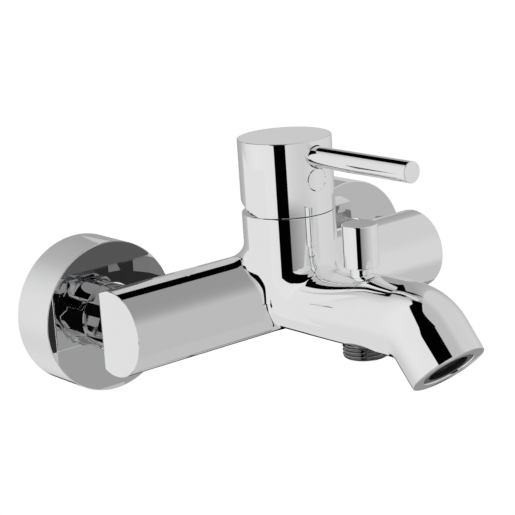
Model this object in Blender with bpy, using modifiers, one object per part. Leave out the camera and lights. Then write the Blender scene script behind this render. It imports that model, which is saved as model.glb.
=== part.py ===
"""Wall mounted bath mixer: lever cartridge, fixed spout, pull-up diverter and threaded shower outlet.

Metres, +Z up. The origin lies on the wall plane midway between the two inlets. +X is to the right
seen from the front, +Y goes into the wall, and the spout points to -Y.
"""

from math import atan2, cos, pi, radians, sin, sqrt, tan

import bmesh
import bpy
from mathutils import Matrix, Vector

# ---------------------------------------------------------------- driving dimensions
GAP = 0.0003                    # free space between pieces that touch
TINY = 0.00001                  # merge distance for welded points
ROUND = 30                      # sides of the larger round pieces
SMALL_ROUND = 12                # sides of the smaller round pieces
HOLE_ROUND = 8                  # sides of small through holes

INLET_X = 0.0750                # half of the standard 150 mm inlet spacing
OFFSET_Z = -0.0100              # drop of the wall thread below the inlet axis
WALL_THREAD_R = 0.0104          # G 1/2 male
WALL_THREAD_END_Y = 0.0170
UNION_THREAD_R = 0.01305        # G 3/4 male

ROSE_R = 0.03485
ROSE_DEPTH = 0.0242
ROSE_WALL = 0.0013
ROSE_HOLE_R = 0.0157

ARM_HALF = 0.09385
ARM_Y = -0.05165
ARM_Z = 0.00087
ARM_RY = 0.01941
ARM_RZ = 0.01962
ARM_BACK_Y = -0.0433

TOWER_Y = -0.06593
TOWER_R = 0.02162
TOWER_FOOT_Z = 0.0               # hidden inside the arms and the spout
TOWER_TOP_Z = 0.0414
CAVITY_FLOOR_Z = 0.0080
CAVITY_R = 0.0179
NUT_BORE_R = 0.0189
NUT_BORE_Z = 0.0345

CAP_R = 0.0217
CAP_BOTTOM_Z = TOWER_TOP_Z + 0.00035
CAP_TOP_Z = 0.07582
CAP_BORE_R = 0.0190
CAP_ROOF_Z = 0.0515
RELIEF_START_Y = -0.0048        # from the tower axis, where the cap's rear relief starts
RELIEF_ANGLE = radians(18.7)
SOCKET_TOP_Z = 0.0625
SPINDLE_SIDE = 0.0076
LIFT_AXIS_Z = 0.0380
ROD_Z = 0.06843
ROD_R = 0.00479
ROD_END_Y = -0.14863
BUTTON_Z = 0.0578
BUTTON_R = 0.00495

PORT_X = 0.0076                 # hot and cold ports, from the tower axis
PORT_Y = -0.0045
OUTLET_PORT_Y = 0.0070
PORT_R = 0.0030
GALLERY_Y = -0.0570
GALLERY_R = 0.0050
BALL_Z = 0.0285                 # ball end of the spindle

SPOUT_FLOOR_Z = -0.0152
SPOUT_TOP_Z = 0.0151
SPOUT_RISE = 0.0042             # the top line climbs by this much ahead of the tower
SPOUT_RISE_FROM_Y = -0.0900
SPOUT_RISE_TO_Y = -0.1280
SPOUT_ROOT_Y = -0.0620
SPOUT_ROOT_HALF = 0.0196        # half width at the tower
SPOUT_END_HALF = 0.01733        # half width at the mouth
SPOUT_END_HEIGHT = 0.03532
BEND_ANGLE = radians(49.4)
BEND_INNER_R = 0.0015
MOUTH_Y = -0.1657
MOUTH_Z = -0.0156
MOUTH_OUT = Vector((0.0, -cos(BEND_ANGLE), -sin(BEND_ANGLE)))
SOCKET_R = 0.0122
SOCKET_DEPTH = 0.0125

DIVERTER_Y = -0.11383
KNOB_R = 0.00806
KNOB_BOTTOM_Z = 0.02194
KNOB_TOP_Z = 0.04128
STEM_R = 0.0025
STEM_HOLE_R = STEM_R + GAP
LOWER_SEAT_Z = -0.0100
UPPER_SEAT_Z = 0.0044
BOSS_Z = -0.0154
CHAMBER_R = 0.0095
BATH_GALLERY_Z = 0.0090
SPOUT_GALLERY_Z = -0.0065
OUTLET_END_Z = -0.0195
OUTLET_THREAD_R = 0.010475      # G 1/2 male

# ---------------------------------------------------------------- colours
CHROME = ((0.78, 0.79, 0.80), 1.0, 0.05)
BRASS = ((0.70, 0.52, 0.25), 1.0, 0.30)
STEEL = ((0.60, 0.60, 0.60), 1.0, 0.30)
CERAMIC = ((0.88, 0.87, 0.84), 0.0, 0.15)
WHITE_PLASTIC = ((0.80, 0.80, 0.78), 0.0, 0.40)
GREY_PLASTIC = ((0.25, 0.26, 0.28), 0.0, 0.45)
RUBBER = ((0.03, 0.03, 0.03), 0.0, 0.80)


# ---------------------------------------------------------------- scene and helpers
for old in list(bpy.data.objects):
    bpy.data.objects.remove(old)

MODEL = bpy.data.collections.new("bath_mixer")
CUTTERS = bpy.data.collections.new("cutters")
for group in (MODEL, CUTTERS):
    bpy.context.scene.collection.children.link(group)


def hang(thing, at, parent):
    """Put an object at a world point, under its parent axis where it has one."""
    offset = Vector((0.0, 0.0, 0.0))
    carrier = parent
    while carrier:
        offset += carrier.location
        carrier = carrier.parent
    thing.parent = parent
    thing.location = Vector(at) - offset


def axis_empty(name, at, parent=None):
    """An empty that marks a joint's axis and carries the pieces that move with it."""
    empty = bpy.data.objects.new(name, None)
    empty.empty_display_size = 0.01
    MODEL.objects.link(empty)
    hang(empty, at, parent)
    return empty


def paint(piece, finish):
    """Give a piece its own material."""
    colour, metallic, roughness = finish
    material = bpy.data.materials.new(piece.name + "_material")
    material.use_nodes = True
    shader = material.node_tree.nodes["Principled BSDF"]
    shader.inputs["Base Color"].default_value = (*colour, 1.0)
    shader.inputs["Metallic"].default_value = metallic
    shader.inputs["Roughness"].default_value = roughness
    piece.data.materials.append(material)


def new_piece(name, mesh, at, finish, parent=None):
    """A sub-part in the model's collection."""
    piece = bpy.data.objects.new(name, mesh)
    MODEL.objects.link(piece)
    hang(piece, at, parent)
    paint(piece, finish)
    return piece


def new_cutter(name, mesh, at):
    """A guide shape that only cuts or joins other pieces."""
    cutter = bpy.data.objects.new(name, mesh)
    CUTTERS.objects.link(cutter)
    cutter.location = at
    cutter.hide_render = True
    cutter.display_type = "WIRE"
    return cutter


def turn_to(thing, direction):
    """Point an object's own +Z along a direction."""
    thing.rotation_euler = Vector(direction).to_track_quat("Z", "Y").to_euler()


def boolean(piece, tool, operation="DIFFERENCE"):
    """Cut, join or intersect a piece with another object."""
    modifier = piece.modifiers.new(operation.lower() + "_" + tool.name, "BOOLEAN")
    modifier.operation = operation
    modifier.object = tool
    modifier.solver = "EXACT"


def smooth(mesh):
    mesh.shade_smooth()
    mesh.set_sharp_from_angle(angle=radians(35))


def bar_mesh(name, radius, length, sides):
    """A round bar along Z with its foot at the origin."""
    mesh = bpy.data.meshes.new(name)
    cage = bmesh.new()
    bmesh.ops.create_cone(
        cage, cap_ends=True, segments=sides, radius1=radius, radius2=radius, depth=length,
        matrix=Matrix.Translation((0.0, 0.0, length / 2)),
    )
    cage.to_mesh(mesh)
    cage.free()
    smooth(mesh)
    return mesh


def bar_piece(name, radius, start, end, finish, parent=None, sides=ROUND):
    """A sub-part that is a plain round bar between two world points."""
    run = Vector(end) - Vector(start)
    piece = new_piece(name, bar_mesh(name, radius, run.length, sides), start, finish, parent)
    turn_to(piece, run)
    return piece


def bar_cutter(name, radius, start, end, sides=ROUND):
    """A round cutter between two world points."""
    run = Vector(end) - Vector(start)
    cutter = new_cutter(name, bar_mesh(name, radius, run.length, sides), start)
    turn_to(cutter, run)
    return cutter


def box_cutter(name, low, high):
    """A box cutter between its lowest and highest corner."""
    low, high = Vector(low), Vector(high)
    mesh = bpy.data.meshes.new(name)
    cage = bmesh.new()
    bmesh.ops.create_cube(cage, size=1.0, matrix=Matrix.Diagonal((*(high - low), 1.0)))
    cage.to_mesh(mesh)
    cage.free()
    return new_cutter(name, mesh, (low + high) / 2)


def turned(name, profile, at, finish, parent=None, direction=(0, 0, 1), sides=ROUND, closed=True):
    """A turned piece: (radius, height) points run down the outer side, then back up the bore.

    A closed profile is a ring. An open one starts and ends on the axis.
    """
    mesh = bpy.data.meshes.new(name)
    points = [(radius, 0.0, height) for radius, height in profile]
    count = len(points)
    edges = [(i, (i + 1) % count) for i in range(count if closed else count - 1)]
    mesh.from_pydata(points, edges, [])
    piece = new_piece(name, mesh, at, finish, parent)
    turn_to(piece, direction)
    screw = piece.modifiers.new("turn", "SCREW")
    screw.axis = "Z"
    screw.steps = sides
    screw.render_steps = sides
    screw.use_merge_vertices = True
    screw.merge_threshold = TINY
    screw.use_smooth_shade = False
    return piece


def ring_profile(outer, inner, low, high):
    """A plain ring between two heights."""
    return [(outer, high), (outer, low), (inner, low), (inner, high)]


def stepped_bar(*steps):
    """An open profile from (radius, top, bottom) steps, from the top down."""
    profile = [(0.0, steps[0][1])]
    for radius, top, bottom in steps:
        profile += [(radius, top), (radius, bottom)]
    profile.append((0.0, steps[-1][2]))
    return profile


def loft(name, rings):
    """A closed skin over rings of points, with flat ends."""
    mesh = bpy.data.meshes.new(name)
    cage = bmesh.new()
    loops = [[cage.verts.new(point) for point in ring] for ring in rings]
    count = len(loops[0])
    for near, far in zip(loops, loops[1:]):
        for i in range(count):
            j = (i + 1) % count
            cage.faces.new((near[i], near[j], far[j], far[i]))
    cage.faces.new(loops[0])
    cage.faces.new(loops[-1])
    bmesh.ops.recalc_face_normals(cage, faces=cage.faces)
    cage.to_mesh(mesh)
    cage.free()
    smooth(mesh)
    return mesh


def tube_loft(name, outer, inner):
    """A closed tube: an outer and an inner skin over matching rings, joined at both ends."""
    mesh = bpy.data.meshes.new(name)
    cage = bmesh.new()
    skins = [[[cage.verts.new(point) for point in ring] for ring in rings] for rings in (outer, inner)]
    count = len(outer[0])
    bands = [pair for skin in skins for pair in zip(skin, skin[1:])]
    bands += [(skins[0][end], skins[1][end]) for end in (0, -1)]
    for near, far in bands:
        for i in range(count):
            j = (i + 1) % count
            cage.faces.new((near[i], near[j], far[j], far[i]))
    bmesh.ops.recalc_face_normals(cage, faces=cage.faces)
    cage.to_mesh(mesh)
    cage.free()
    smooth(mesh)
    return mesh


def hex_prism(name, across, length):
    """A hexagonal bar along Z, flats facing +X and -X, foot at the origin."""
    mesh = bar_mesh(name, across / sqrt(3.0), length, 6)
    mesh.transform(Matrix.Rotation(radians(30), 4, "Z"))
    return mesh


def solid_from_curve(curve_data, name):
    """Turn a curve's evaluated shape into a closed mesh."""
    guide = bpy.data.objects.new(name + "_curve", curve_data)
    bpy.context.scene.collection.objects.link(guide)
    depsgraph = bpy.context.evaluated_depsgraph_get()
    mesh = bpy.data.meshes.new_from_object(guide.evaluated_get(depsgraph))
    cage = bmesh.new()
    cage.from_mesh(mesh)
    bmesh.ops.remove_doubles(cage, verts=cage.verts, dist=TINY / 2)
    bmesh.ops.recalc_face_normals(cage, faces=cage.faces)
    cage.to_mesh(mesh)
    cage.free()
    bpy.data.objects.remove(guide)
    return mesh


def outline_mesh(name, points, half_thickness):
    """A flat outline in the XY plane, made as thick as asked, half to each side."""
    data = bpy.data.curves.new(name, "CURVE")
    data.dimensions = "2D"
    data.fill_mode = "BOTH"
    data.extrude = half_thickness
    spline = data.splines.new("POLY")
    spline.points.add(len(points) - 1)
    for place, (across, up) in zip(spline.points, points):
        place.co = (across, up, 0.0, 1.0)
    spline.use_cyclic_u = True
    mesh = solid_from_curve(data, name)
    smooth(mesh)
    return mesh


def coil_mesh(name, coil_radius, wire_radius, low, high, turns, per_turn):
    """A coil spring along Z."""
    data = bpy.data.curves.new(name, "CURVE")
    data.dimensions = "3D"
    data.bevel_depth = wire_radius
    data.bevel_resolution = 2
    data.use_fill_caps = True
    count = int(turns * per_turn) + 1
    spline = data.splines.new("POLY")
    spline.points.add(count - 1)
    rise = high - low - 2 * wire_radius
    for i, place in enumerate(spline.points):
        angle = 2 * pi * turns * i / (count - 1)
        height = low + wire_radius + rise * i / (count - 1)
        place.co = (coil_radius * cos(angle), coil_radius * sin(angle), height, 1.0)
    mesh = solid_from_curve(data, name)
    smooth(mesh)
    return mesh


# ---------------------------------------------------------------- joint axes
TEMPERATURE = axis_empty("temperature_axis", (0.0, TOWER_Y, LIFT_AXIS_Z))
LIFT = axis_empty("lift_axis", (0.0, TOWER_Y, LIFT_AXIS_Z), TEMPERATURE)
DISC_SLIDE = axis_empty("disc_slide_axis", (0.0, TOWER_Y, BALL_Z), TEMPERATURE)
DIVERTER = axis_empty("diverter_axis", (0.0, DIVERTER_Y, KNOB_BOTTOM_Z))
POPPET = axis_empty("poppet_axis", (0.0, DIVERTER_Y, BOSS_Z))


# ---------------------------------------------------------------- body casting
def arm_outline():
    """The arms' D section: an ellipse cut flat at the back. First value along Y, second along Z."""
    half = atan2(
        sqrt(1.0 - ((ARM_BACK_Y - ARM_Y) / ARM_RY) ** 2), (ARM_BACK_Y - ARM_Y) / ARM_RY
    )
    steps = 28
    angles = [half + (2 * pi - 2 * half) * i / steps for i in range(steps + 1)]
    return [(ARM_Y + ARM_RY * cos(a), ARM_Z + ARM_RZ * sin(a)) for a in angles]


def spout_section(foot, lean, height, half_width, sides=28):
    """One oval ring of the spout, standing on its foot point and leaning forward."""
    up = Vector((0.0, -sin(lean), cos(lean)))
    centre = foot + up * height / 2
    angles = [2 * pi * i / sides for i in range(sides)]
    return [
        centre + Vector((half_width * cos(a), 0.0, 0.0)) + up * (height / 2 * sin(a)) for a in angles
    ]


def spout_rings():
    """The spout: a level oval tube, a bend about its inner corner, and a straight leg to the mouth."""
    mouth_up = Vector((0.0, -sin(BEND_ANGLE), cos(BEND_ANGLE)))
    mouth_foot = Vector((0.0, MOUTH_Y, MOUTH_Z)) - mouth_up * SPOUT_END_HEIGHT / 2
    leg = (SPOUT_FLOOR_Z - mouth_foot.z) / sin(BEND_ANGLE)
    corner_y = mouth_foot.y + leg * cos(BEND_ANGLE)
    bend_y = corner_y + BEND_INNER_R * tan(BEND_ANGLE / 2)
    pivot = Vector((0.0, bend_y, SPOUT_FLOOR_Z - BEND_INNER_R))
    rings = []
    level_steps = 9
    for i in range(level_steps):
        y = SPOUT_ROOT_Y + (bend_y - SPOUT_ROOT_Y) * i / level_steps
        climb = min(1.0, max(0.0, (y - SPOUT_RISE_FROM_Y) / (SPOUT_RISE_TO_Y - SPOUT_RISE_FROM_Y)))
        top = SPOUT_TOP_Z + SPOUT_RISE * climb * climb * (3 - 2 * climb)
        share = i / level_steps * 0.7
        half = SPOUT_ROOT_HALF + (SPOUT_END_HALF - SPOUT_ROOT_HALF) * share
        rings.append(spout_section(Vector((0.0, y, SPOUT_FLOOR_Z)), 0.0, top - SPOUT_FLOOR_Z, half))
    bend_steps = 6
    first_height = SPOUT_TOP_Z + SPOUT_RISE - SPOUT_FLOOR_Z
    for i in range(bend_steps + 1):
        share = i / bend_steps
        lean = BEND_ANGLE * share
        up = Vector((0.0, -sin(lean), cos(lean)))
        height = first_height + (SPOUT_END_HEIGHT - first_height) * share
        half = SPOUT_ROOT_HALF + (SPOUT_END_HALF - SPOUT_ROOT_HALF) * (0.7 + 0.2 * share)
        rings.append(spout_section(pivot + up * BEND_INNER_R, lean, height, half))
    rings.append(spout_section(mouth_foot, BEND_ANGLE, SPOUT_END_HEIGHT, SPOUT_END_HALF))
    return rings


def down_the_tower(name, radius, x, y, low, high, sides=SMALL_ROUND):
    """An upright cutter placed from the tower axis."""
    return bar_cutter(name, radius, (x, TOWER_Y + y, low), (x, TOWER_Y + y, high), sides)


def body_casting():
    """The hollow brass casting: two arms, the tower and the spout, with its water ways."""
    bar = outline_mesh("body_casting", arm_outline(), ARM_HALF)
    bar.transform(Matrix(((0, 0, 1, 0), (1, 0, 0, 0), (0, 1, 0, 0), (0, 0, 0, 1))))
    casting = new_piece("body_casting", bar, (0.0, 0.0, 0.0), CHROME)

    tower = new_cutter("tower", bar_mesh("tower", TOWER_R, TOWER_TOP_Z - TOWER_FOOT_Z, 40),
                       (0.0, TOWER_Y, TOWER_FOOT_Z))
    boolean(casting, tower, "UNION")
    boolean(casting, new_cutter("spout", loft("spout", spout_rings()), (0.0, 0.0, 0.0)), "UNION")
    boss = bar_cutter("outlet_boss", 0.0116, (0, DIVERTER_Y, BOSS_Z), (0, DIVERTER_Y, -0.0080))
    boolean(casting, boss, "UNION")

    cuts = [
        down_the_tower("cavity", CAVITY_R, 0.0, 0.0, CAVITY_FLOOR_Z, TOWER_TOP_Z + 0.001, ROUND),
        down_the_tower("nut_bore", NUT_BORE_R, 0.0, 0.0, NUT_BORE_Z, TOWER_TOP_Z + 0.002, ROUND),
        down_the_tower("outlet_port", PORT_R, 0.0, OUTLET_PORT_Y, SPOUT_GALLERY_Z, 0.0085),
    ]
    for side, label in ((-1, "left"), (1, "right")):
        x = side * INLET_X
        port = side * PORT_X
        port_y = TOWER_Y + PORT_Y
        cuts += [
            bar_cutter(label + "_tail_bore", 0.0093, (x, ARM_BACK_Y + 0.001, 0), (x, -0.0560, 0)),
            bar_cutter(label + "_gallery", GALLERY_R, (port, GALLERY_Y, 0), (side * 0.0820, GALLERY_Y, 0),
                       SMALL_ROUND),
            bar_cutter(label + "_link", PORT_R + 0.0001, (port, GALLERY_Y, 0), (port, port_y, 0),
                       SMALL_ROUND),
            down_the_tower(label + "_port", PORT_R, port, PORT_Y, 0.0, 0.0085),
        ]
    at_knob = (0.0, DIVERTER_Y)
    mouth = Vector((0.0, MOUTH_Y, MOUTH_Z))
    cuts += [
        bar_cutter("spout_gallery", 0.0045, (0, TOWER_Y + OUTLET_PORT_Y, SPOUT_GALLERY_Z),
                   (*at_knob, SPOUT_GALLERY_Z), SMALL_ROUND),
        bar_cutter("chamber", CHAMBER_R, (*at_knob, BOSS_Z - 0.001), (*at_knob, UPPER_SEAT_Z)),
        bar_cutter("seat_bore", 0.0056, (*at_knob, UPPER_SEAT_Z - 0.001), (*at_knob, 0.0080), SMALL_ROUND),
        bar_cutter("upper_chamber", 0.0072, (*at_knob, 0.0065), (*at_knob, 0.0115)),
        bar_cutter("bush_bore", 0.0053, (*at_knob, 0.0110), (*at_knob, 0.0180), SMALL_ROUND),
        bar_cutter("collar_bore", 0.0056, (*at_knob, 0.0170), (*at_knob, 0.0230), SMALL_ROUND),
        bar_cutter("bath_gallery", 0.0042, (*at_knob, BATH_GALLERY_Z), (0, -0.1470, BATH_GALLERY_Z),
                   SMALL_ROUND),
        bar_cutter("mouth_bore", 0.0070, mouth - MOUTH_OUT * 0.0310, mouth - MOUTH_OUT * 0.0120),
        bar_cutter("mouth_socket", SOCKET_R, mouth - MOUTH_OUT * SOCKET_DEPTH, mouth + MOUTH_OUT * 0.001),
    ]
    for cutter in cuts:
        boolean(casting, cutter)


# ---------------------------------------------------------------- inlets
def eccentric_union(side, label):
    """The offset wall connector: G 3/4 at the nut, G 1/2 into the wall, its axes 10 mm apart."""
    stations = (                # y, axis height, outer radius, bore radius
        (-0.0306, 0.0, UNION_THREAD_R, 0.0085),
        (-0.0180, 0.0, UNION_THREAD_R, 0.0085),
        (-0.0150, 0.0, 0.0125, 0.0085),
        (-0.0050, OFFSET_Z, 0.0125, 0.0065),
        (-0.0035, OFFSET_Z, WALL_THREAD_R, 0.0065),
        (WALL_THREAD_END_Y, OFFSET_Z, WALL_THREAD_R, 0.0065),
    )
    angles = [2 * pi * i / ROUND for i in range(ROUND)]
    outer = [[(r * cos(a), y, z + r * sin(a)) for a in angles] for y, z, r, _ in stations]
    inner = [[(r * cos(a), y, z + r * sin(a)) for a in angles] for y, z, _, r in stations]
    new_piece(label + "_eccentric_union", tube_loft(label + "_eccentric_union", outer, inner),
              (side * INLET_X, 0.0, 0.0), BRASS)


def union_nut(side, label):
    """Captive coupling nut: a hexagon next to the arm and a round skirt that runs into the rose."""
    hexagon_end = 0.0064
    length = 0.0217
    skirt_r = 0.0153
    nut = new_piece(label + "_union_nut", hex_prism(label + "_union_nut", 0.0300, hexagon_end),
                    (side * INLET_X, ARM_BACK_Y + 0.0005, 0.0), CHROME)
    turn_to(nut, (0, 1, 0))
    start = nut.location.copy()
    chamfer = bar_cutter(label + "_nut_round", 0.0166, start, start + Vector((0, hexagon_end, 0)))
    boolean(nut, chamfer, "INTERSECT")
    skirt = bar_cutter(label + "_nut_skirt", skirt_r, start + Vector((0, hexagon_end / 2, 0)),
                       start + Vector((0, length, 0)))
    boolean(nut, skirt, "UNION")
    lip = bar_cutter(label + "_nut_lip", 0.0108, start - Vector((0, 0.001, 0)),
                     start + Vector((0, length, 0)))
    thread = bar_cutter(label + "_nut_thread", UNION_THREAD_R + 0.00035,
                        start + Vector((0, hexagon_end, 0)), start + Vector((0, length + 0.001, 0)))
    boolean(nut, lip)
    boolean(nut, thread)


def inlet(side, label):
    """Everything between one arm and the wall."""
    x = side * INLET_X
    into_wall = (0, 1, 0)
    shoulder = ARM_BACK_Y + GAP
    turned(label + "_inlet_tail", [
        (0.0129, 0.0100), (0.0129, 0.0073), (0.0104, 0.0073), (0.0104, 0.0), (0.0090, 0.0),
        (0.0090, -0.0110), (0.0065, -0.0110), (0.0065, 0.0100),
    ], (x, shoulder, 0.0), BRASS, direction=into_wall)
    union_nut(side, label)
    turned(label + "_inlet_washer", ring_profile(0.0126, 0.0080, 0.0, 0.0018),
           (x, -0.0327, 0.0), RUBBER, direction=into_wall)
    eccentric_union(side, label)
    edge = 0.0004
    inside = ROSE_R - ROSE_WALL
    turned(label + "_escutcheon", [
        (ROSE_R, 0.0), (ROSE_R, -ROSE_DEPTH + edge), (ROSE_R - edge, -ROSE_DEPTH),
        (ROSE_HOLE_R, -ROSE_DEPTH), (ROSE_HOLE_R, -ROSE_DEPTH + ROSE_WALL),
        (inside, -ROSE_DEPTH + ROSE_WALL), (inside, 0.0),
    ], (x, 0.0, 0.0), CHROME, direction=into_wall, sides=40)


# ---------------------------------------------------------------- cartridge
def on_tower(height):
    """A point on the tower's axis."""
    return (0.0, TOWER_Y, height)


def ports():
    """The three water ways of the cartridge, as name, x and y from the tower axis."""
    return (
        ("hot", -PORT_X, PORT_Y),
        ("cold", PORT_X, PORT_Y),
        ("outlet", 0.0, OUTLET_PORT_Y),
    )


def cartridge():
    """The ceramic cartridge's fixed pieces, from the cavity floor up."""
    axis = (0.0, TOWER_Y, 0.0)
    base_low, base_high = CAVITY_FLOOR_Z + GAP, 0.0144
    base = bar_piece("cartridge_base", 0.0174, on_tower(base_low), on_tower(base_high), GREY_PLASTIC)
    disc_low, disc_high = base_high + GAP, 0.0182
    disc = bar_piece("fixed_disc", 0.0160, on_tower(disc_low), on_tower(disc_high), CERAMIC)
    seal_r = 0.0039
    for label, x, y in ports():
        boolean(base, down_the_tower(label + "_seal_hole", seal_r + GAP, x, y, base_low - 0.001,
                                     base_high + 0.001))
        boolean(disc, down_the_tower(label + "_disc_port", PORT_R, x, y, disc_low - 0.001,
                                     disc_high + 0.001))
        turned(label + "_base_seal", ring_profile(seal_r, 0.0029, base_low, base_high),
               (x, TOWER_Y + y, 0.0), RUBBER, sides=SMALL_ROUND)
    roof_low, roof_high = 0.0333, 0.0360
    turned("cartridge_housing", [
        (0.01745, roof_high), (0.01745, disc_low), (0.0164, disc_low), (0.0164, roof_low),
        (0.0108, roof_low), (0.0108, roof_high),
    ], axis, GREY_PLASTIC)
    nut_low, nut_high = roof_high + GAP, 0.0410
    nut = turned("cartridge_nut", ring_profile(0.0186, 0.0125, nut_low, nut_high), axis, BRASS)
    slot_half = 0.0015
    for label, low, high in (
        ("nut_slot_x", (-0.020, TOWER_Y - slot_half, 0.0390), (0.020, TOWER_Y + slot_half, 0.0420)),
        ("nut_slot_y", (-slot_half, TOWER_Y - 0.020, 0.0390), (slot_half, TOWER_Y + 0.020, 0.0420)),
    ):
        boolean(nut, box_cutter(label, low, high))
    ring_low = nut_high + GAP
    turned("dome_ring", [
        (0.0122, 0.0449), (0.0150, 0.0442), (0.0172, 0.0430), (0.0180, 0.0420), (0.0180, ring_low),
        (0.0109, ring_low), (0.0109, 0.0449),
    ], axis, CHROME)


def spindle_guide():
    """The turning guide that holds the spindle's pivot pin."""
    low, flange_high, high = 0.0305, 0.0330, 0.0455
    guide = turned("spindle_guide", stepped_bar((0.0104, high, flange_high), (0.0158, flange_high, low)),
                   (0.0, TOWER_Y, 0.0), WHITE_PLASTIC, TEMPERATURE, closed=False)
    slot_half = 0.0042
    boolean(guide, box_cutter("guide_slot", (-slot_half, TOWER_Y - 0.0060, low - 0.001),
                              (slot_half, TOWER_Y + 0.0080, high + 0.001)))
    pin_r, pin_half = 0.0016, 0.0098
    hole = bar_cutter("pin_hole", pin_r + GAP, (-0.0130, TOWER_Y, LIFT_AXIS_Z),
                      (0.0130, TOWER_Y, LIFT_AXIS_Z), SMALL_ROUND)
    boolean(guide, hole)
    bar_piece("pivot_pin", pin_r, (-pin_half, TOWER_Y, LIFT_AXIS_Z), (pin_half, TOWER_Y, LIFT_AXIS_Z),
              STEEL, TEMPERATURE, SMALL_ROUND)
    return hole


def spindle(pin_hole):
    """The square spindle with its ball end, on the pivot pin."""
    square_low, square_high = 0.0330, SOCKET_TOP_Z - 0.0005
    ball_r, neck_r = 0.0028, 0.0022
    mesh = bpy.data.meshes.new("spindle")
    cage = bmesh.new()
    size = (SPINDLE_SIDE, SPINDLE_SIDE, square_high - square_low, 1.0)
    lift = Matrix.Translation((0.0, 0.0, (square_high + square_low) / 2 - LIFT_AXIS_Z))
    bmesh.ops.create_cube(cage, size=1.0, matrix=lift @ Matrix.Diagonal(size))
    cage.to_mesh(mesh)
    cage.free()
    piece = new_piece("spindle", mesh, (0.0, TOWER_Y, LIFT_AXIS_Z), STEEL, LIFT)
    neck = down_the_tower("spindle_neck", neck_r, 0.0, 0.0, BALL_Z, square_low + 0.001)
    boolean(piece, neck, "UNION")
    ball_mesh = bpy.data.meshes.new("spindle_ball")
    cage = bmesh.new()
    bmesh.ops.create_uvsphere(cage, u_segments=16, v_segments=10, radius=ball_r)
    cage.to_mesh(ball_mesh)
    cage.free()
    boolean(piece, new_cutter("spindle_ball", ball_mesh, (0.0, TOWER_Y, BALL_Z)), "UNION")
    boolean(piece, pin_hole)


def moving_discs():
    """The carrier and the ceramic disc that the spindle's ball pushes over the ports."""
    low, high = 0.0220, 0.0302
    carrier = bar_piece("disc_carrier", 0.0122, on_tower(low), on_tower(high), WHITE_PLASTIC, DISC_SLIDE)
    boolean(carrier, down_the_tower("ball_pocket", 0.0035, 0.0, 0.0, low + 0.003, high + 0.001))
    disc_low = 0.0185
    disc = bar_piece("moving_disc", 0.0124, on_tower(disc_low), on_tower(low - GAP), CERAMIC, DISC_SLIDE)
    boolean(disc, box_cutter("mixing_pocket", (-0.0075, TOWER_Y - 0.0010, disc_low - 0.001),
                             (0.0075, TOWER_Y + 0.0090, disc_low + 0.0018)))


# ---------------------------------------------------------------- handle
def handle_cap(front):
    """The round handle head: hollow below, with a relief at the rear that lets it tip back."""
    edge = 0.0004
    cap = turned("handle_cap", [
        (0.0, CAP_TOP_Z), (CAP_R - edge, CAP_TOP_Z), (CAP_R, CAP_TOP_Z - edge), (CAP_R, CAP_BOTTOM_Z),
        (CAP_BORE_R, CAP_BOTTOM_Z), (CAP_BORE_R, CAP_ROOF_Z), (0.0, CAP_ROOF_Z),
    ], (0.0, TOWER_Y, 0.0), CHROME, LIFT, sides=40, closed=False)
    relief = box_cutter("cap_relief", (-0.030, 0.0, -0.030), (0.030, 0.060, 0.0))
    relief.data.transform(Matrix.Translation(relief.location))
    relief.location = (0.0, TOWER_Y + RELIEF_START_Y, CAP_BOTTOM_Z)
    relief.rotation_euler = (RELIEF_ANGLE, 0.0, 0.0)
    boolean(cap, relief)
    half = SPINDLE_SIDE / 2 + GAP
    boolean(cap, box_cutter("spindle_socket", (-half, TOWER_Y - half, CAP_ROOF_Z - 0.001),
                            (half, TOWER_Y + half, SOCKET_TOP_Z)))
    boolean(cap, bar_cutter("rod_bore", ROD_R + GAP, (0, front - 0.002, ROD_Z),
                            (0, TOWER_Y - 0.0120, ROD_Z)))
    boolean(cap, bar_cutter("grub_bore", 0.0028, (0, front, BUTTON_Z), (0, TOWER_Y - half + 0.0005, BUTTON_Z),
                            SMALL_ROUND))
    boolean(cap, bar_cutter("button_recess", BUTTON_R + GAP, (0, front - 0.002, BUTTON_Z),
                            (0, front + 0.0030, BUTTON_Z), 32))


def handle():
    """The handle head, its lever rod, the clamping screw and the index button over it."""
    front = TOWER_Y - CAP_R
    handle_cap(front)
    edge = 0.0003
    rod_length = TOWER_Y - 0.0120 - GAP - ROD_END_Y
    turned("lever_rod", [
        (0.0, rod_length), (ROD_R - edge, rod_length), (ROD_R, rod_length - edge), (ROD_R, edge),
        (ROD_R - edge, 0.0), (0.0, 0.0),
    ], (0.0, TOWER_Y - 0.0120 - GAP, ROD_Z), CHROME, LIFT, direction=(0, -1, 0), sides=24, closed=False)

    screw_length = 0.0130
    screw_start = TOWER_Y - SPINDLE_SIDE / 2 - 0.0004
    screw = bar_piece("grub_screw", 0.0025, (0, screw_start, BUTTON_Z),
                      (0, screw_start - screw_length, BUTTON_Z), STEEL, LIFT, SMALL_ROUND)
    key = new_cutter("grub_key", hex_prism("grub_key", 0.0025, 0.0030),
                     (0.0, screw_start - screw_length + 0.0025, BUTTON_Z))
    turn_to(key, (0, -1, 0))
    boolean(screw, key)

    button = bar_piece("index_button", BUTTON_R, (0, front + 0.0027, BUTTON_Z), (0, front - 0.001, BUTTON_Z),
                       CHROME, LIFT, 24)
    boolean(button, down_the_tower("button_face", CAP_R, 0.0, 0.0, 0.0500, 0.0680, 96), "INTERSECT")


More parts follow.
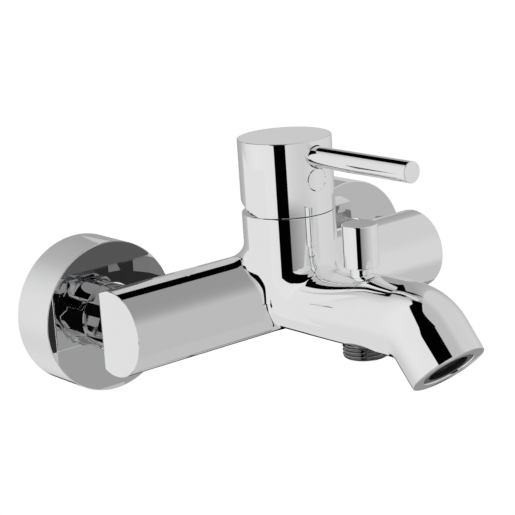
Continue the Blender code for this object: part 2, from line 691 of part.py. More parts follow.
# ---------------------------------------------------------------- diverter
def diverter():
    """The pull-up diverter: knob and stem, the valve plate between two seats, and its return spring."""
    axis = (0.0, DIVERTER_Y, 0.0)
    edge = 0.0004
    stem_top, stem_bottom = 0.0337, -0.0123
    knob = turned("diverter_knob", [
        (0.0, KNOB_TOP_Z), (KNOB_R - edge, KNOB_TOP_Z), (KNOB_R, KNOB_TOP_Z - edge),
        (KNOB_R, KNOB_BOTTOM_Z + edge), (KNOB_R - edge, KNOB_BOTTOM_Z), (STEM_HOLE_R, KNOB_BOTTOM_Z),
        (STEM_HOLE_R, stem_top + GAP), (0.0, stem_top + GAP),
    ], axis, CHROME, DIVERTER, sides=24, closed=False)
    screw_z = 0.0260
    boolean(knob, bar_cutter("set_screw_bore", 0.0015, (0, DIVERTER_Y + 0.0015, screw_z),
                             (0, DIVERTER_Y + 0.0090, screw_z), HOLE_ROUND))
    screw_start = DIVERTER_Y + STEM_R + GAP
    bar_piece("knob_set_screw", 0.0012, (0, screw_start, screw_z), (0, screw_start + 0.0045, screw_z),
              STEEL, DIVERTER, HOLE_ROUND)
    bar_piece("diverter_stem", STEM_R, (0, DIVERTER_Y, stem_bottom), (0, DIVERTER_Y, stem_top), BRASS,
              DIVERTER, SMALL_ROUND)

    seal_thickness, plate_thickness = 0.0015, 0.0020
    height = LOWER_SEAT_Z + GAP
    for name, radius, thickness, finish in (
        ("lower_valve_seal", 0.0072, seal_thickness, RUBBER),
        ("valve_plate", 0.0074, plate_thickness, BRASS),
        ("upper_valve_seal", 0.0072, seal_thickness, RUBBER),
    ):
        turned(name, ring_profile(radius, STEM_HOLE_R, height, height + thickness), axis, finish, DIVERTER,
               sides=24)
        height += thickness + GAP
    nut = new_piece("plate_nut", hex_prism("plate_nut", 0.0068, 0.0023), (0.0, DIVERTER_Y, stem_bottom),
                    BRASS, DIVERTER)
    boolean(nut, bar_cutter("plate_nut_bore", STEM_HOLE_R, (0, DIVERTER_Y, stem_bottom - 0.001),
                            (0, DIVERTER_Y, LOWER_SEAT_Z + 0.001), SMALL_ROUND))

    bush_low, bush_high, shoulder = 0.0118, KNOB_BOTTOM_Z - 0.00034, 0.0174
    groove_low, groove_high, groove_r = 0.0138, 0.0158, 0.0043
    turned("diverter_bush", [
        (0.00525, bush_high), (0.00525, shoulder), (0.0050, shoulder), (0.0050, bush_low),
        (STEM_HOLE_R, bush_low), (STEM_HOLE_R, groove_low), (groove_r, groove_low),
        (groove_r, groove_high), (STEM_HOLE_R, groove_high), (STEM_HOLE_R, bush_high),
    ], axis, CHROME, sides=20)
    turned("gland_seal", ring_profile(groove_r - GAP, STEM_HOLE_R, groove_low + GAP, groove_high - GAP),
           axis, RUBBER, sides=SMALL_ROUND)
    new_piece("diverter_spring",
              coil_mesh("diverter_spring", 0.0040, 0.00045, height, bush_low - GAP, 5.5, 8),
              axis, STEEL)


# ---------------------------------------------------------------- shower outlet
def shower_outlet():
    """The threaded outlet under the spout, with its seal and its check valve."""
    axis = (0.0, DIVERTER_Y, 0.0)
    shoulder = BOSS_Z - 0.00035
    insert_r, bore_r, socket_r = 0.0091, 0.0050, 0.0076
    groove_low, groove_high, groove_r = -0.0119, -0.0106, 0.0079
    edge = 0.0005
    turned("shower_nipple", [
        (insert_r, LOWER_SEAT_Z), (insert_r, groove_high), (groove_r, groove_high), (groove_r, groove_low),
        (insert_r, groove_low), (insert_r, shoulder), (OUTLET_THREAD_R, shoulder),
        (OUTLET_THREAD_R, OUTLET_END_Z + edge), (OUTLET_THREAD_R - edge, OUTLET_END_Z),
        (socket_r, OUTLET_END_Z), (socket_r, -0.0125), (bore_r, -0.0125), (bore_r, LOWER_SEAT_Z),
    ], axis, CHROME)
    turned("nipple_seal", ring_profile(0.0092, groove_r + GAP, groove_low + GAP, groove_high - GAP),
           axis, RUBBER, sides=24)

    body_r, chamber_r, seat_r = socket_r - GAP, 0.0056, 0.0034
    top, seat_low, web_top, web_low, low = -0.0128, -0.0138, -0.0174, -0.0182, -0.0192
    guide_r = 0.0015
    valve = turned("check_valve_body", [
        (body_r, top), (body_r, low), (chamber_r, low), (chamber_r, web_low), (guide_r, web_low),
        (guide_r, web_top), (chamber_r, web_top), (chamber_r, seat_low), (seat_r, seat_low), (seat_r, top),
    ], axis, WHITE_PLASTIC, sides=24)
    for i in range(4):
        angle = pi / 4 + i * pi / 2
        x, y = 0.0037 * cos(angle), DIVERTER_Y + 0.0037 * sin(angle)
        boolean(valve, bar_cutter("web_hole_%d" % i, 0.0014, (x, y, web_low - 0.0005),
                                  (x, y, web_top + 0.0005), HOLE_ROUND))
    disc_low = -0.0151
    turned("check_poppet", stepped_bar((0.0044, seat_low - GAP, disc_low), (0.0011, disc_low, -0.0180)),
           axis, WHITE_PLASTIC, POPPET, sides=SMALL_ROUND, closed=False)
    new_piece("check_spring",
              coil_mesh("check_spring", 0.0022, 0.00025, web_top + GAP, disc_low - GAP, 2.0, 8),
              axis, STEEL)


# ---------------------------------------------------------------- aerator
def down_the_mouth(height):
    """A point on the mouth's axis, 0 at the rim and negative inside."""
    return Vector((0.0, MOUTH_Y, MOUTH_Z)) + MOUTH_OUT * height


def aerator():
    """The jet former in the spout's mouth. Heights run along the mouth's axis, 0 at the rim."""
    mouth = (0.0, MOUTH_Y, MOUTH_Z)
    lip, face = -0.0012, -0.0022
    back = -0.0112
    turned("aerator_housing", [
        (0.0119, lip), (0.0119, back), (0.0103, back), (0.0103, face), (0.0094, face), (0.0094, lip),
    ], mouth, GREY_PLASTIC, direction=MOUTH_OUT)

    insert_top, insert_low = face - GAP, -0.0080
    insert = bar_piece("aerator_insert", 0.0100, down_the_mouth(insert_low), down_the_mouth(insert_top),
                       WHITE_PLASTIC)
    screen_top, screen_low = insert_low - GAP, -0.0091
    screen = bar_piece("aerator_screen", 0.0100, down_the_mouth(screen_low), down_the_mouth(screen_top),
                       STEEL)
    turned("aerator_washer", ring_profile(0.0118, 0.0090, -0.0122, back - GAP), mouth, RUBBER,
           direction=MOUTH_OUT)

    frame = Vector(MOUTH_OUT).to_track_quat("Z", "Y")
    for piece, label, holes, circle, radius, low, high in (
        (insert, "jet", 10, 0.0070, 0.0010, insert_low, insert_top),
        (insert, "inner_jet", 5, 0.0034, 0.0010, insert_low, insert_top),
        (screen, "screen_hole", 8, 0.0065, 0.0015, screen_low, screen_top),
    ):
        for i in range(holes):
            angle = 2 * pi * i / holes
            aside = frame @ Vector((circle * cos(angle), circle * sin(angle), 0.0))
            boolean(piece, bar_cutter("%s_%d" % (label, i), radius, down_the_mouth(low - 0.0005) + aside,
                                      down_the_mouth(high + 0.0005) + aside, HOLE_ROUND))


# ---------------------------------------------------------------- assembly
body_casting()
for side, label in ((-1, "left"), (1, "right")):
    inlet(side, label)
cartridge()
spindle(spindle_guide())
moving_discs()
handle()
diverter()
shower_outlet()
aerator()
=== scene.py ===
"""Looks of the wall mounted bath mixer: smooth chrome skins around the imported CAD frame, in a studio.

Metres, in the frame's own axes: +X to the right, +Y into the wall, +Z up.
"""

from math import atan2, ceil, cos, hypot, pi, radians, sin, sqrt, tan

import bmesh
import bpy
import numpy as np
from mathutils import Matrix, Vector


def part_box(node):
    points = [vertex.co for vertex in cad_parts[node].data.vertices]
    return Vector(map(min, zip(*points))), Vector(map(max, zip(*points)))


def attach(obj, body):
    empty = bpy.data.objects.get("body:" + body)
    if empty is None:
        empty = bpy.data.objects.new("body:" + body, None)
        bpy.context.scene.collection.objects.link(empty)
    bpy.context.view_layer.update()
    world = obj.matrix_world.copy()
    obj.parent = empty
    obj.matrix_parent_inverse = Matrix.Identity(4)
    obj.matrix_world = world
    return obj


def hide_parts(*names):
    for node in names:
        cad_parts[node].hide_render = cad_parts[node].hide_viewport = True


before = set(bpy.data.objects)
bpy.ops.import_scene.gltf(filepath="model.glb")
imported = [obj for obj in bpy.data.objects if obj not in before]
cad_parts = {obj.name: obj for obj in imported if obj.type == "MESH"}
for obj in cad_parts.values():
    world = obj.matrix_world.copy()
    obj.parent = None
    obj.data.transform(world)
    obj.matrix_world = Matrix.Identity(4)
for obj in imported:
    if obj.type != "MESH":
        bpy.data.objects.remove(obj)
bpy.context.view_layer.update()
SCENE = bpy.context.scene
LEFT, RIGHT = -1, 1
INTO_WALL = (0, 1, 0)

# ---------------------------- sizes, from the frame
BODY_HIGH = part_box("body_casting")[1]
ARM_HALF = BODY_HIGH.x
ARM_BACK_Y = BODY_HIGH.y
TOWER_TOP_Z = BODY_HIGH.z

ROSE_LOW, ROSE_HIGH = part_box("right_escutcheon")
ROSE_R = (ROSE_HIGH.z - ROSE_LOW.z) / 2
ROSE_DEPTH = -ROSE_LOW.y
INLET_X = (ROSE_HIGH.x + ROSE_LOW.x) / 2

CAP_LOW, CAP_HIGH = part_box("handle_cap")
CAP_R = (CAP_HIGH.x - CAP_LOW.x) / 2
TOWER_Y = CAP_LOW.y + CAP_R
ROD_LOW, ROD_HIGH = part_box("lever_rod")
ROD_R = (ROD_HIGH.x - ROD_LOW.x) / 2
ROD_Z = (ROD_HIGH.z + ROD_LOW.z) / 2
BUTTON_LOW, BUTTON_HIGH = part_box("index_button")
BUTTON_R = (BUTTON_HIGH.x - BUTTON_LOW.x) / 2
BUTTON_Z = (BUTTON_HIGH.z + BUTTON_LOW.z) / 2

KNOB_LOW, KNOB_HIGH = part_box("diverter_knob")
KNOB_R = (KNOB_HIGH.x - KNOB_LOW.x) / 2
KNOB_Y = (KNOB_HIGH.y + KNOB_LOW.y) / 2
NIPPLE_LOW, NIPPLE_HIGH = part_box("shower_nipple")
NIPPLE_R = (NIPPLE_HIGH.x - NIPPLE_LOW.x) / 2

# ---------------------------- sizes of the casting's own shape
GAP = 0.0003                            # air between pieces that fit into each other
ARM_Y, ARM_Z = -0.05165, 0.00087        # centre of the arms' oval section
ARM_RY, ARM_RZ = 0.01941, 0.01962
TOWER_R = 0.02162
TOWER_FOOT_Z, FOOT_ROUND = -0.0030, 0.0060          # where the tower ends inside the spout
SPOUT_WELD = 0.0050                     # concave fillet between tower and spout
ARM_WELD, ARM_WELD_HIGH = 0.0031, 0.0068            # concave fillets round the arms, low and high up
ARM_WELD_FROM_Z, ARM_WELD_RISE = 0.004, 0.016
OUTLET_SEAT_Z = -0.0124                 # ceiling of the round recess that the shower outlet sits in

SPOUT_FLOOR_Z, SPOUT_TOP_Z = -0.0152, 0.0151
SPOUT_RISE, RISE_FROM_Y, RISE_TO_Y = 0.0042, -0.0900, -0.1280
SPOUT_ROOT_Y, SPOUT_BACK_Y = -0.0620, -0.0580
ROOT_HALF, END_HALF, END_HEIGHT = 0.0196, 0.01733, 0.03532
BEND, BEND_INNER_R = radians(49.4), 0.0015
MOUTH = np.array((0.0, -0.1657, -0.0156))
MOUTH_OUT = np.array((0.0, -cos(BEND), -sin(BEND)))
MOUTH_UP = np.array((0.0, -sin(BEND), cos(BEND)))
SOCKET_R, SOCKET_DEPTH = 0.0122, 0.0125


# ---------------------------- fields: distance to a surface, negative inside
def oval(across, up, half_width, half_height):
    """Distance to an ellipse, true to first order at its line."""
    share = np.hypot(across / half_width, up / half_height)
    slope = np.hypot(across / half_width**2, up / half_height**2)
    return share * (share - 1.0) / np.maximum(slope, 1e-9)


def weld(a, b, radius):
    """Union of two fields with a concave fillet."""
    reach = np.hypot(np.maximum(radius - a, 0.0), np.maximum(radius - b, 0.0))
    return np.maximum(radius, np.minimum(a, b)) - reach


def meet(a, b, radius):
    """Common part of two fields with a rounded edge."""
    reach = np.hypot(np.maximum(radius + a, 0.0), np.maximum(radius + b, 0.0))
    return np.minimum(-radius, np.maximum(a, b)) + reach


def ease(share):
    """0 to 1 with no kink at either end."""
    share = np.clip(share, 0.0, 1.0)
    return share * share * (3.0 - 2.0 * share)


def spout_pivot():
    """The centre of the spout's bend, as y and z, and the length of the straight leg after it."""
    foot = MOUTH - MOUTH_UP * END_HEIGHT / 2
    leg = (SPOUT_FLOOR_Z - foot[2]) / sin(BEND)
    corner_y = foot[1] + leg * cos(BEND)
    tangent = BEND_INNER_R * tan(BEND / 2)
    return corner_y + tangent, SPOUT_FLOOR_Z - BEND_INNER_R, leg - tangent


def spout_field(p):
    """The spout: a level oval bar, a bend about its inner corner, and a straight leg past the mouth."""
    x, y, z = p.T
    pivot_y, pivot_z, leg = spout_pivot()
    first_height = SPOUT_TOP_Z + SPOUT_RISE - SPOUT_FLOOR_Z
    top = SPOUT_TOP_Z + SPOUT_RISE * ease((y - RISE_FROM_Y) / (RISE_TO_Y - RISE_FROM_Y))
    lean = np.arctan2(pivot_y - y, z - pivot_z)
    lean = np.where(y > pivot_y, 0.0, np.clip(lean, 0.0, BEND))
    radius = np.hypot(y - pivot_y, z - pivot_z)
    level, straight = lean <= 0.0, lean >= BEND
    leg_up = (y - pivot_y) * MOUTH_UP[1] + (z - pivot_z) * MOUTH_UP[2]
    leg_run = (y - pivot_y) * MOUTH_OUT[1] + (z - pivot_z) * MOUTH_OUT[2]
    up = np.where(level, z - pivot_z, np.where(straight, leg_up, radius)) - BEND_INNER_R
    bent = first_height + (END_HEIGHT - first_height) * ease(lean / BEND)
    height = np.where(level, top - SPOUT_FLOOR_Z, bent)
    middle = BEND_INNER_R + first_height / 2
    level_length = SPOUT_ROOT_Y - pivot_y
    path = np.where(level, SPOUT_ROOT_Y - y, level_length + middle * lean + np.where(straight, leg_run, 0.0))
    share = np.clip(path / (level_length + middle * BEND + leg), 0.0, 1.1)
    half = ROOT_HALF + (END_HALF - ROOT_HALF) * share
    return oval(x, up - height / 2, half, height / 2)


def casting_field(p):
    """The casting without its bores and its flat ends."""
    x, y, z = p.T
    tower = np.hypot(x, y - TOWER_Y) - TOWER_R
    tower = meet(tower, TOWER_FOOT_Z - z, FOOT_ROUND)
    spout = np.maximum(spout_field(p), y - SPOUT_BACK_Y)
    arms = oval(y - ARM_Y, z - ARM_Z, ARM_RY, ARM_RZ)
    body = weld(tower, spout, SPOUT_WELD)
    arm_weld = ARM_WELD + (ARM_WELD_HIGH - ARM_WELD) * ease((z - ARM_WELD_FROM_Z) / ARM_WELD_RISE)
    return weld(body, arms, arm_weld)


def rounded_bar_field(centre, radius, low, high, edge):
    """An upright round bar with rounded rims."""
    def field(p):
        """Distance to the bar."""
        across = np.hypot(p[:, 0] - centre[0], p[:, 1] - centre[1]) - (radius - edge)
        along = np.abs(p[:, 2] - (low + high) / 2) - ((high - low) / 2 - edge)
        outside = np.hypot(np.maximum(across, 0), np.maximum(along, 0))
        return outside + np.minimum(np.maximum(across, along), 0) - edge
    return field


def slope_of(field, points, step=1e-6):
    """Unit slope of a field at some points: the outward direction of its surface."""
    sides = np.eye(3) * step
    slope = np.stack([field(points + side) - field(points - side) for side in sides], axis=1)
    return slope / np.maximum(np.linalg.norm(slope, axis=1, keepdims=True), 1e-12)


def settle(field, points, rounds=4):
    """Move points onto a field's surface."""
    for _ in range(rounds):
        points = points - slope_of(field, points) * field(points)[:, None]
    return points


def skin(field, low, high, pitch):
    """Points and quads over a field's surface: one point in each cell of a grid that the surface crosses."""
    counts = [int(ceil((b - a) / pitch)) + 1 for a, b in zip(low, high)]
    lines = [a + pitch * np.arange(n) for a, n in zip(low, counts)]
    nodes = np.stack(np.meshgrid(*lines, indexing="ij"), axis=-1)
    value = field(nodes.reshape(-1, 3)).reshape(counts)
    inside = value < 0.0
    strides = np.array([counts[1] * counts[2], counts[2], 1])
    quads, cells, crossings = [], [], []
    for axis in range(3):
        near = tuple(slice(0, -1) if i == axis else slice(None) for i in range(3))
        far = tuple(slice(1, None) if i == axis else slice(None) for i in range(3))
        crossed = inside[near] != inside[far]
        a, b = value[near][crossed], value[far][crossed]
        point = nodes[near][crossed]
        point[:, axis] += pitch * a / (a - b)
        first = np.argwhere(crossed) @ strides
        u, v = strides[(axis + 1) % 3], strides[(axis + 2) % 3]
        around = np.stack([first, first - u, first - u - v, first - v], axis=1)
        leaving = inside[near][crossed]
        around[~leaving] = around[~leaving][:, ::-1]
        quads.append(around)
        cells.append(around.ravel())
        crossings.append(np.repeat(point, 4, axis=0))
    used, index = np.unique(np.concatenate(cells), return_inverse=True)
    crossings = np.concatenate(crossings)
    hits = np.bincount(index)
    points = np.stack([np.bincount(index, crossings[:, i]) for i in range(3)], axis=1) / hits[:, None]
    return points, np.searchsorted(used, np.concatenate(quads))


def relax(field, points, quads, rounds=4):
    """Even out the quads while the points stay on the field's surface."""
    for _ in range(rounds):
        centres = np.repeat(points[quads].mean(axis=1), 4, axis=0)
        share = np.bincount(quads.ravel())
        points = np.stack([np.bincount(quads.ravel(), centres[:, i]) for i in range(3)], axis=1)
        points = settle(field, points / share[:, None], 2)
    return settle(field, points)


# ---------------------------- mesh helpers
def mesh_of(name, points, faces):
    """A mesh from points and faces."""
    mesh = bpy.data.meshes.new(name)
    mesh.from_pydata([tuple(p) for p in points], [], [tuple(int(i) for i in f) for f in faces])
    mesh.update()
    return mesh


def piece_of(name, mesh, body, slot, material, *nodes):
    """A shown piece: it rides on a CAD body and stands for CAD nodes. Its record slot is not used."""
    piece = bpy.data.objects.new(name, mesh)
    SCENE.collection.objects.link(piece)
    mesh.materials.clear()
    mesh.materials.append(material)
    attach(piece, body)
    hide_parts(*nodes)
    return piece


def turn_matrix(at, direction=(0.0, 0.0, 1.0)):
    """Place and turn something built about +Z."""
    turn = Vector(direction).to_track_quat("Z", "Y").to_matrix().to_4x4()
    return Matrix.Translation(Vector(at)) @ turn


def rounded_line(corners, closed, arc_steps=5):
    """A profile of (radius, height) corners as (radius, height, normal in, normal out) stops.

    A corner's third number, if it has one, is the radius that it is rounded with.
    """
    count = len(corners)
    stops = []
    for i, (r, z, *rest) in enumerate(corners):
        rounding = rest[0] if rest else 0.0
        here = Vector((r, z))
        before, after = Vector(corners[i - 1][:2]), Vector(corners[(i + 1) % count][:2])
        came, goes = (here - before).normalized(), (after - here).normalized()
        if not closed and i == 0:
            came = goes
        if not closed and i == count - 1:
            goes = came
        normal_in, normal_out = Vector((-came.y, came.x)), Vector((-goes.y, goes.x))
        turn = atan2(came.x * goes.y - came.y * goes.x, came.dot(goes))
        if rounding <= 0.0 or abs(turn) < 1e-4:
            stops.append((r, z, normal_in, normal_out))
            continue
        start = here - came * rounding * tan(abs(turn) / 2)
        bulge = -1.0 if turn > 0 else 1.0
        centre = start - normal_in * rounding * bulge
        for k in range(arc_steps + 1):
            angle = turn * k / arc_steps
            normal = Matrix.Rotation(angle, 2) @ normal_in
            place = centre + normal * rounding * bulge
            stops.append((place.x, place.y, normal, normal))
    return stops


def turned_mesh(name, corners, at=(0, 0, 0), direction=(0, 0, 1), sides=128, closed=True, true_normals=True):
    """A turned shape. Its corners run down the outer side, then back up the bore."""
    stops = rounded_line(corners, closed)
    angles = 2 * pi * np.arange(sides) / sides
    points, rings = [], []
    for r, z, _, _ in stops:
        if r < 1e-7:
            rings.append([len(points)] * sides)
            points.append((0.0, 0.0, z))
        else:
            rings.append(list(range(len(points), len(points) + sides)))
            points += [(r * cos(a), r * sin(a), z) for a in angles]
    faces, normals = [], []
    count = len(stops)
    for i in range(count if closed else count - 1):
        j = (i + 1) % count
        start, end = stops[i][3], stops[j][2]
        for k in range(sides):
            m = (k + 1) % sides
            near, far = rings[i], rings[j]
            corner = [(near[k], start, k), (far[k], end, k), (far[m], end, m), (near[m], start, m)]
            kept = [c for n, c in enumerate(corner) if c[0] != corner[n - 1][0]]
            if len(kept) < 3:
                continue
            faces.append([c[0] for c in kept])
            middle = angles[k] + pi / sides
            for index, normal, side in kept:
                on_axis = hypot(*points[index][:2]) < 1e-7
                turn = middle if on_axis else angles[side]
                normals.append((normal.x * cos(turn), normal.x * sin(turn), normal.y))
    mesh = mesh_of(name, points, faces)
    mesh.shade_smooth()
    if true_normals:
        mesh.normals_split_custom_set(normals)
    mesh.transform(turn_matrix(at, direction))
    return mesh


def stepped_mesh(name, steps, low, at=(0, 0, 0), direction=(0, 0, 1), sides=96):
    """A solid of stacked cylinders: the (radius, top) of each from the top down, then the lowest end."""
    tops = [top for _, top in steps]
    corners = [(0.0, tops[0])]
    for (radius, top), bottom in zip(steps, [*tops[1:], low]):
        corners += [(radius, top), (radius, bottom)]
    corners.append((0.0, low))
    return turned_mesh(name, corners, at, direction, sides, closed=False)


def box_mesh(name, low, high, tilt=0.0, about=(0, 0, 0)):
    """A box between two corners, tipped about a point."""
    low, high = Vector(low), Vector(high)
    cage = bmesh.new()
    place = Matrix.Translation((low + high) / 2) @ Matrix.Diagonal((*(high - low), 1))
    bmesh.ops.create_cube(cage, size=1.0, matrix=place)
    mesh = bpy.data.meshes.new(name)
    cage.to_mesh(mesh)
    cage.free()
    about = Matrix.Translation(Vector(about))
    mesh.transform(about @ Matrix.Rotation(tilt, 4, "X") @ about.inverted())
    return mesh


def combine(base_mesh, *steps):
    """Boolean steps on a closed mesh, each an operation and another closed mesh."""
    base = bpy.data.objects.new("join_base", base_mesh)
    SCENE.collection.objects.link(base)
    tools = []
    for operation, other in steps:
        tool = bpy.data.objects.new("join_tool", other)
        SCENE.collection.objects.link(tool)
        modifier = base.modifiers.new("join", "BOOLEAN")
        modifier.operation = operation
        modifier.solver = "EXACT"
        modifier.object = tool
        tools.append(tool)
    result = bpy.data.meshes.new_from_object(base.evaluated_get(bpy.context.evaluated_depsgraph_get()))
    for used in [base, *tools]:
        bpy.data.objects.remove(used)
    result.name = base_mesh.name
    return result


def cut(mesh, *cutters):
    """Take closed cutter meshes out of a closed mesh."""
    return combine(mesh, *(("DIFFERENCE", cutter) for cutter in cutters))


def numbers(items, name, width=1, kind=float):
    """One property of all the items of a mesh, as an array."""
    values = np.zeros(len(items) * width, kind)
    items.foreach_get(name, values)
    return values.reshape(-1, width) if width > 1 else values


def keep_normals(mesh, field, flat_angle=radians(30), reach=2e-5):
    """Give the faces that lie on a field's surface its true normals, and leave the cuts their own."""
    mesh.shade_smooth()
    mesh.set_sharp_from_angle(angle=flat_angle)
    corners = numbers(mesh.corner_normals, "vector", 3)
    points = numbers(mesh.vertices, "co", 3)
    face_normals = numbers(mesh.polygons, "normal", 3)
    totals = numbers(mesh.polygons, "loop_total", kind=int)
    loops = numbers(mesh.loops, "vertex_index", kind=int)
    slopes = slope_of(field, points)
    near = np.abs(field(points)) < reach
    face_of = np.repeat(np.arange(len(totals)), totals)
    agrees = np.einsum("ij,ij->i", slopes[loops], face_normals[face_of]) > 0.9
    whole = np.ones(len(totals), bool)
    np.logical_and.at(whole, face_of, near[loops] & agrees)
    chosen = whole[face_of]
    corners[chosen] = slopes[loops][chosen]
    mesh.normals_split_custom_set([tuple(n) for n in corners])


# ---------------------------- materials
def finish(name, tones, metallic, roughness, grain, relief, stretch=(1.0, 1.0, 1.0)):
    """A procedural material: fine noise varies its colour, its roughness and the height of its surface."""
    material = bpy.data.materials.new(name)
    material.use_nodes = True
    tree = material.node_tree
    shader = tree.nodes["Principled BSDF"]
    shader.inputs["Metallic"].default_value = metallic
    place = tree.nodes.new("ShaderNodeMapping")
    place.inputs["Scale"].default_value = stretch
    tree.links.new(tree.nodes.new("ShaderNodeTexCoord").outputs["Object"], place.inputs["Vector"])
    noise = tree.nodes.new("ShaderNodeTexNoise")
    noise.inputs["Scale"].default_value = 1.0 / grain
    noise.inputs["Detail"].default_value = 4.0
    tree.links.new(place.outputs["Vector"], noise.inputs["Vector"])
    colours = tree.nodes.new("ShaderNodeValToRGB")
    low, high = 0.3, 0.7                # the noise mostly stays between these
    for stop, share, tone in zip(colours.color_ramp.elements, (low, high), tones):
        stop.position = share
        stop.color = (*tone, 1.0)
    tree.links.new(noise.outputs["Fac"], colours.inputs["Fac"])
    tree.links.new(colours.outputs["Color"], shader.inputs["Base Color"])
    rough = tree.nodes.new("ShaderNodeMapRange")
    for socket, value in zip(("From Min", "From Max", "To Min", "To Max"), (low, high, *roughness)):
        rough.inputs[socket].default_value = value
    tree.links.new(noise.outputs["Fac"], rough.inputs["Value"])
    tree.links.new(rough.outputs["Result"], shader.inputs["Roughness"])
    bump = tree.nodes.new("ShaderNodeBump")
    bump.inputs["Distance"].default_value = relief
    tree.links.new(noise.outputs["Fac"], bump.inputs["Height"])
    tree.links.new(bump.outputs["Normal"], shader.inputs["Normal"])
    return material


FINE = 0.0006                           # grain of the plastics
CHROME = finish("chrome", ((0.952, 0.954, 0.958), (0.962, 0.964, 0.967)), 1, (0.014, 0.030), 0.006, 2e-6)
PLATED = finish("plated_brass", ((0.72, 0.71, 0.68), (0.80, 0.79, 0.77)), 1, (0.10, 0.22), 0.0012, 2e-5)
# a darker copy of the chrome: painted shade on the nuts in the gap between rose and arm
SHADED_NUT_CHROME = finish("nut_chrome_painted_shade", ((0.40, 0.40, 0.41), (0.44, 0.44, 0.45)), 1, (0.03, 0.06), 0.004, 4e-6)
# a darker copy of the chrome: painted shade on the outlet in its recess under the spout
SHADED_THREAD_CHROME = finish("thread_chrome_painted_shade", ((0.24, 0.24, 0.24), (0.32, 0.32, 0.32)), 1, (0.10, 0.20), 0.0010, 1e-5)
BRASS = finish("brass", ((0.66, 0.47, 0.20), (0.74, 0.56, 0.28)), 1, (0.20, 0.34), 0.0009, 3e-5, (1, 1, 6))
STEEL = finish("steel", ((0.54, 0.54, 0.54), (0.64, 0.64, 0.63)), 1, (0.18, 0.32), 0.0007, 2e-5, (1, 1, 8))
CERAMIC = finish("ceramic", ((0.86, 0.85, 0.82), (0.90, 0.89, 0.86)), 0, (0.12, 0.22), 0.0005, 5e-6)
WHITE_PLASTIC = finish("white_plastic", ((0.77, 0.77, 0.74), (0.83, 0.83, 0.81)), 0, (0.34, 0.48), FINE, 3e-5)
GREY_PLASTIC = finish("grey_plastic", ((0.05, 0.05, 0.06), (0.08, 0.08, 0.09)), 0, (0.30, 0.45), FINE, 3e-5)
DARK_PLASTIC = finish("dark_plastic", ((0.010, 0.010, 0.011), (0.022, 0.022, 0.024)), 0, (0.22, 0.36), FINE,
                      3e-5)
RUBBER = finish("rubber", ((0.020, 0.020, 0.020), (0.038, 0.038, 0.037)), 0, (0.62, 0.82), 0.0004, 4e-5)
INNER_FINISHES = {                      # by a part of the CAD node's name
    "inlet_tail": PLATED, "eccentric_union": PLATED, "washer": RUBBER, "seal": RUBBER, "disc": CERAMIC,
    "cartridge_nut": PLATED, "dome_ring": PLATED, "cartridge": GREY_PLASTIC, "disc_carrier": GREY_PLASTIC,
    "spindle_guide": WHITE_PLASTIC, "check_valve_body": WHITE_PLASTIC, "check_poppet": WHITE_PLASTIC,
    "plate": BRASS, "stem": BRASS, "pin": STEEL, "spindle": STEEL, "screw": STEEL, "spring": STEEL,
    "screen": STEEL,
}


def finish_inner_nodes():
    """Every CAD node that still shows takes the finish whose name is the longest part of its own."""
    for node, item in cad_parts.items():
        fitting = [part for part in INNER_FINISHES if part in node]
        if fitting:
            item.data.materials.clear()
            item.data.materials.append(INNER_FINISHES[max(fitting, key=len)])


# ---------------------------- casting
def longest_rim(cage, at, outward):
    """The longest loop of open edges on a plane, as its vertices in order."""
    rim = [edge for edge in cage.edges
           if edge.is_boundary and all(abs((vertex.co - at).dot(outward)) < 1e-5 for vertex in edge.verts)]
    waiting = set(rim)
    loops = []
    for edge in rim:
        if edge not in waiting:
            continue
        waiting.discard(edge)
        start = edge.link_loops[0].vert
        loop = [start, edge.other_vert(start)]
        while loop[-1] != start:
            step = next(e for e in loop[-1].link_edges if e in waiting)
            waiting.discard(step)
            loop.append(step.other_vert(loop[-1]))
        loops.append(loop[:-1])
    return max(loops, key=len)


def slice_off(cage, at, outward, merge):
    """Cut the cage off at a plane and return its open rim there. Rim points closer than merge become one."""
    geometry = cage.verts[:] + cage.edges[:] + cage.faces[:]
    bmesh.ops.bisect_plane(cage, geom=geometry, plane_co=at, plane_no=outward, clear_outer=True, dist=1e-7)
    on_plane = [vertex for vertex in cage.verts if abs((vertex.co - at).dot(outward)) < 1e-6]
    bmesh.ops.remove_doubles(cage, verts=on_plane, dist=merge)
    cage.normal_update()
    return longest_rim(cage, at, outward)


def bridge(cage, near, far):
    """A band of quads between two rings of vertices."""
    for i in range(len(near)):
        j = (i + 1) % len(near)
        cage.faces.new((near[j], near[i], far[i], far[j]))


def crop(cage, at, outward, rounding, steps=4):
    """Cut the cage off flat at a plane, with a small convex edge."""
    outward = Vector(outward).normalized()
    rim = slice_off(cage, Vector(at) - outward * rounding, outward, 2e-5)
    rolls = []
    for vertex in rim:
        normal = vertex.normal.copy()
        lean = max(1.0 - normal.dot(outward), 0.15)
        rolls.append((vertex.co.copy(), normal, rounding / lean))
    rings = [rim]
    for k in range(1, steps + 1):
        ring = []
        for place, normal, radius in rolls:
            leaned = normal.slerp(outward, k / steps) if k < steps else outward
            ring.append(cage.verts.new(place + (leaned - normal) * radius))
        rings.append(ring)
    for near, far in zip(rings, rings[1:]):
        bridge(cage, near, far)
    cage.faces.new(list(reversed(rings[-1])))


def casting_middle(pitch):
    """Points and quads of the casting's middle with its spout, closed off a little outside its flat ends."""
    reach, past_top, past_mouth = 0.0330, 0.002, 0.0015    # past the reach the arms are straight

    def closed_field(p):
        """The casting's field with flat lids."""
        sides = np.abs(p[:, 0]) - reach
        top = p[:, 2] - (TOWER_TOP_Z + past_top)
        mouth = p @ MOUTH_OUT - (MOUTH @ MOUTH_OUT + past_mouth)
        return np.maximum.reduce([casting_field(p), sides, top, mouth])

    margin = 3.5 * pitch
    low = (-reach - margin, MOUTH[1] - 0.020, SPOUT_FLOOR_Z - 0.030)
    high = (reach + margin, ARM_Y + ARM_RY + 3 * pitch, TOWER_TOP_Z + 2 * past_top)
    points, quads = skin(closed_field, low, high, pitch)
    return relax(closed_field, points, quads), quads


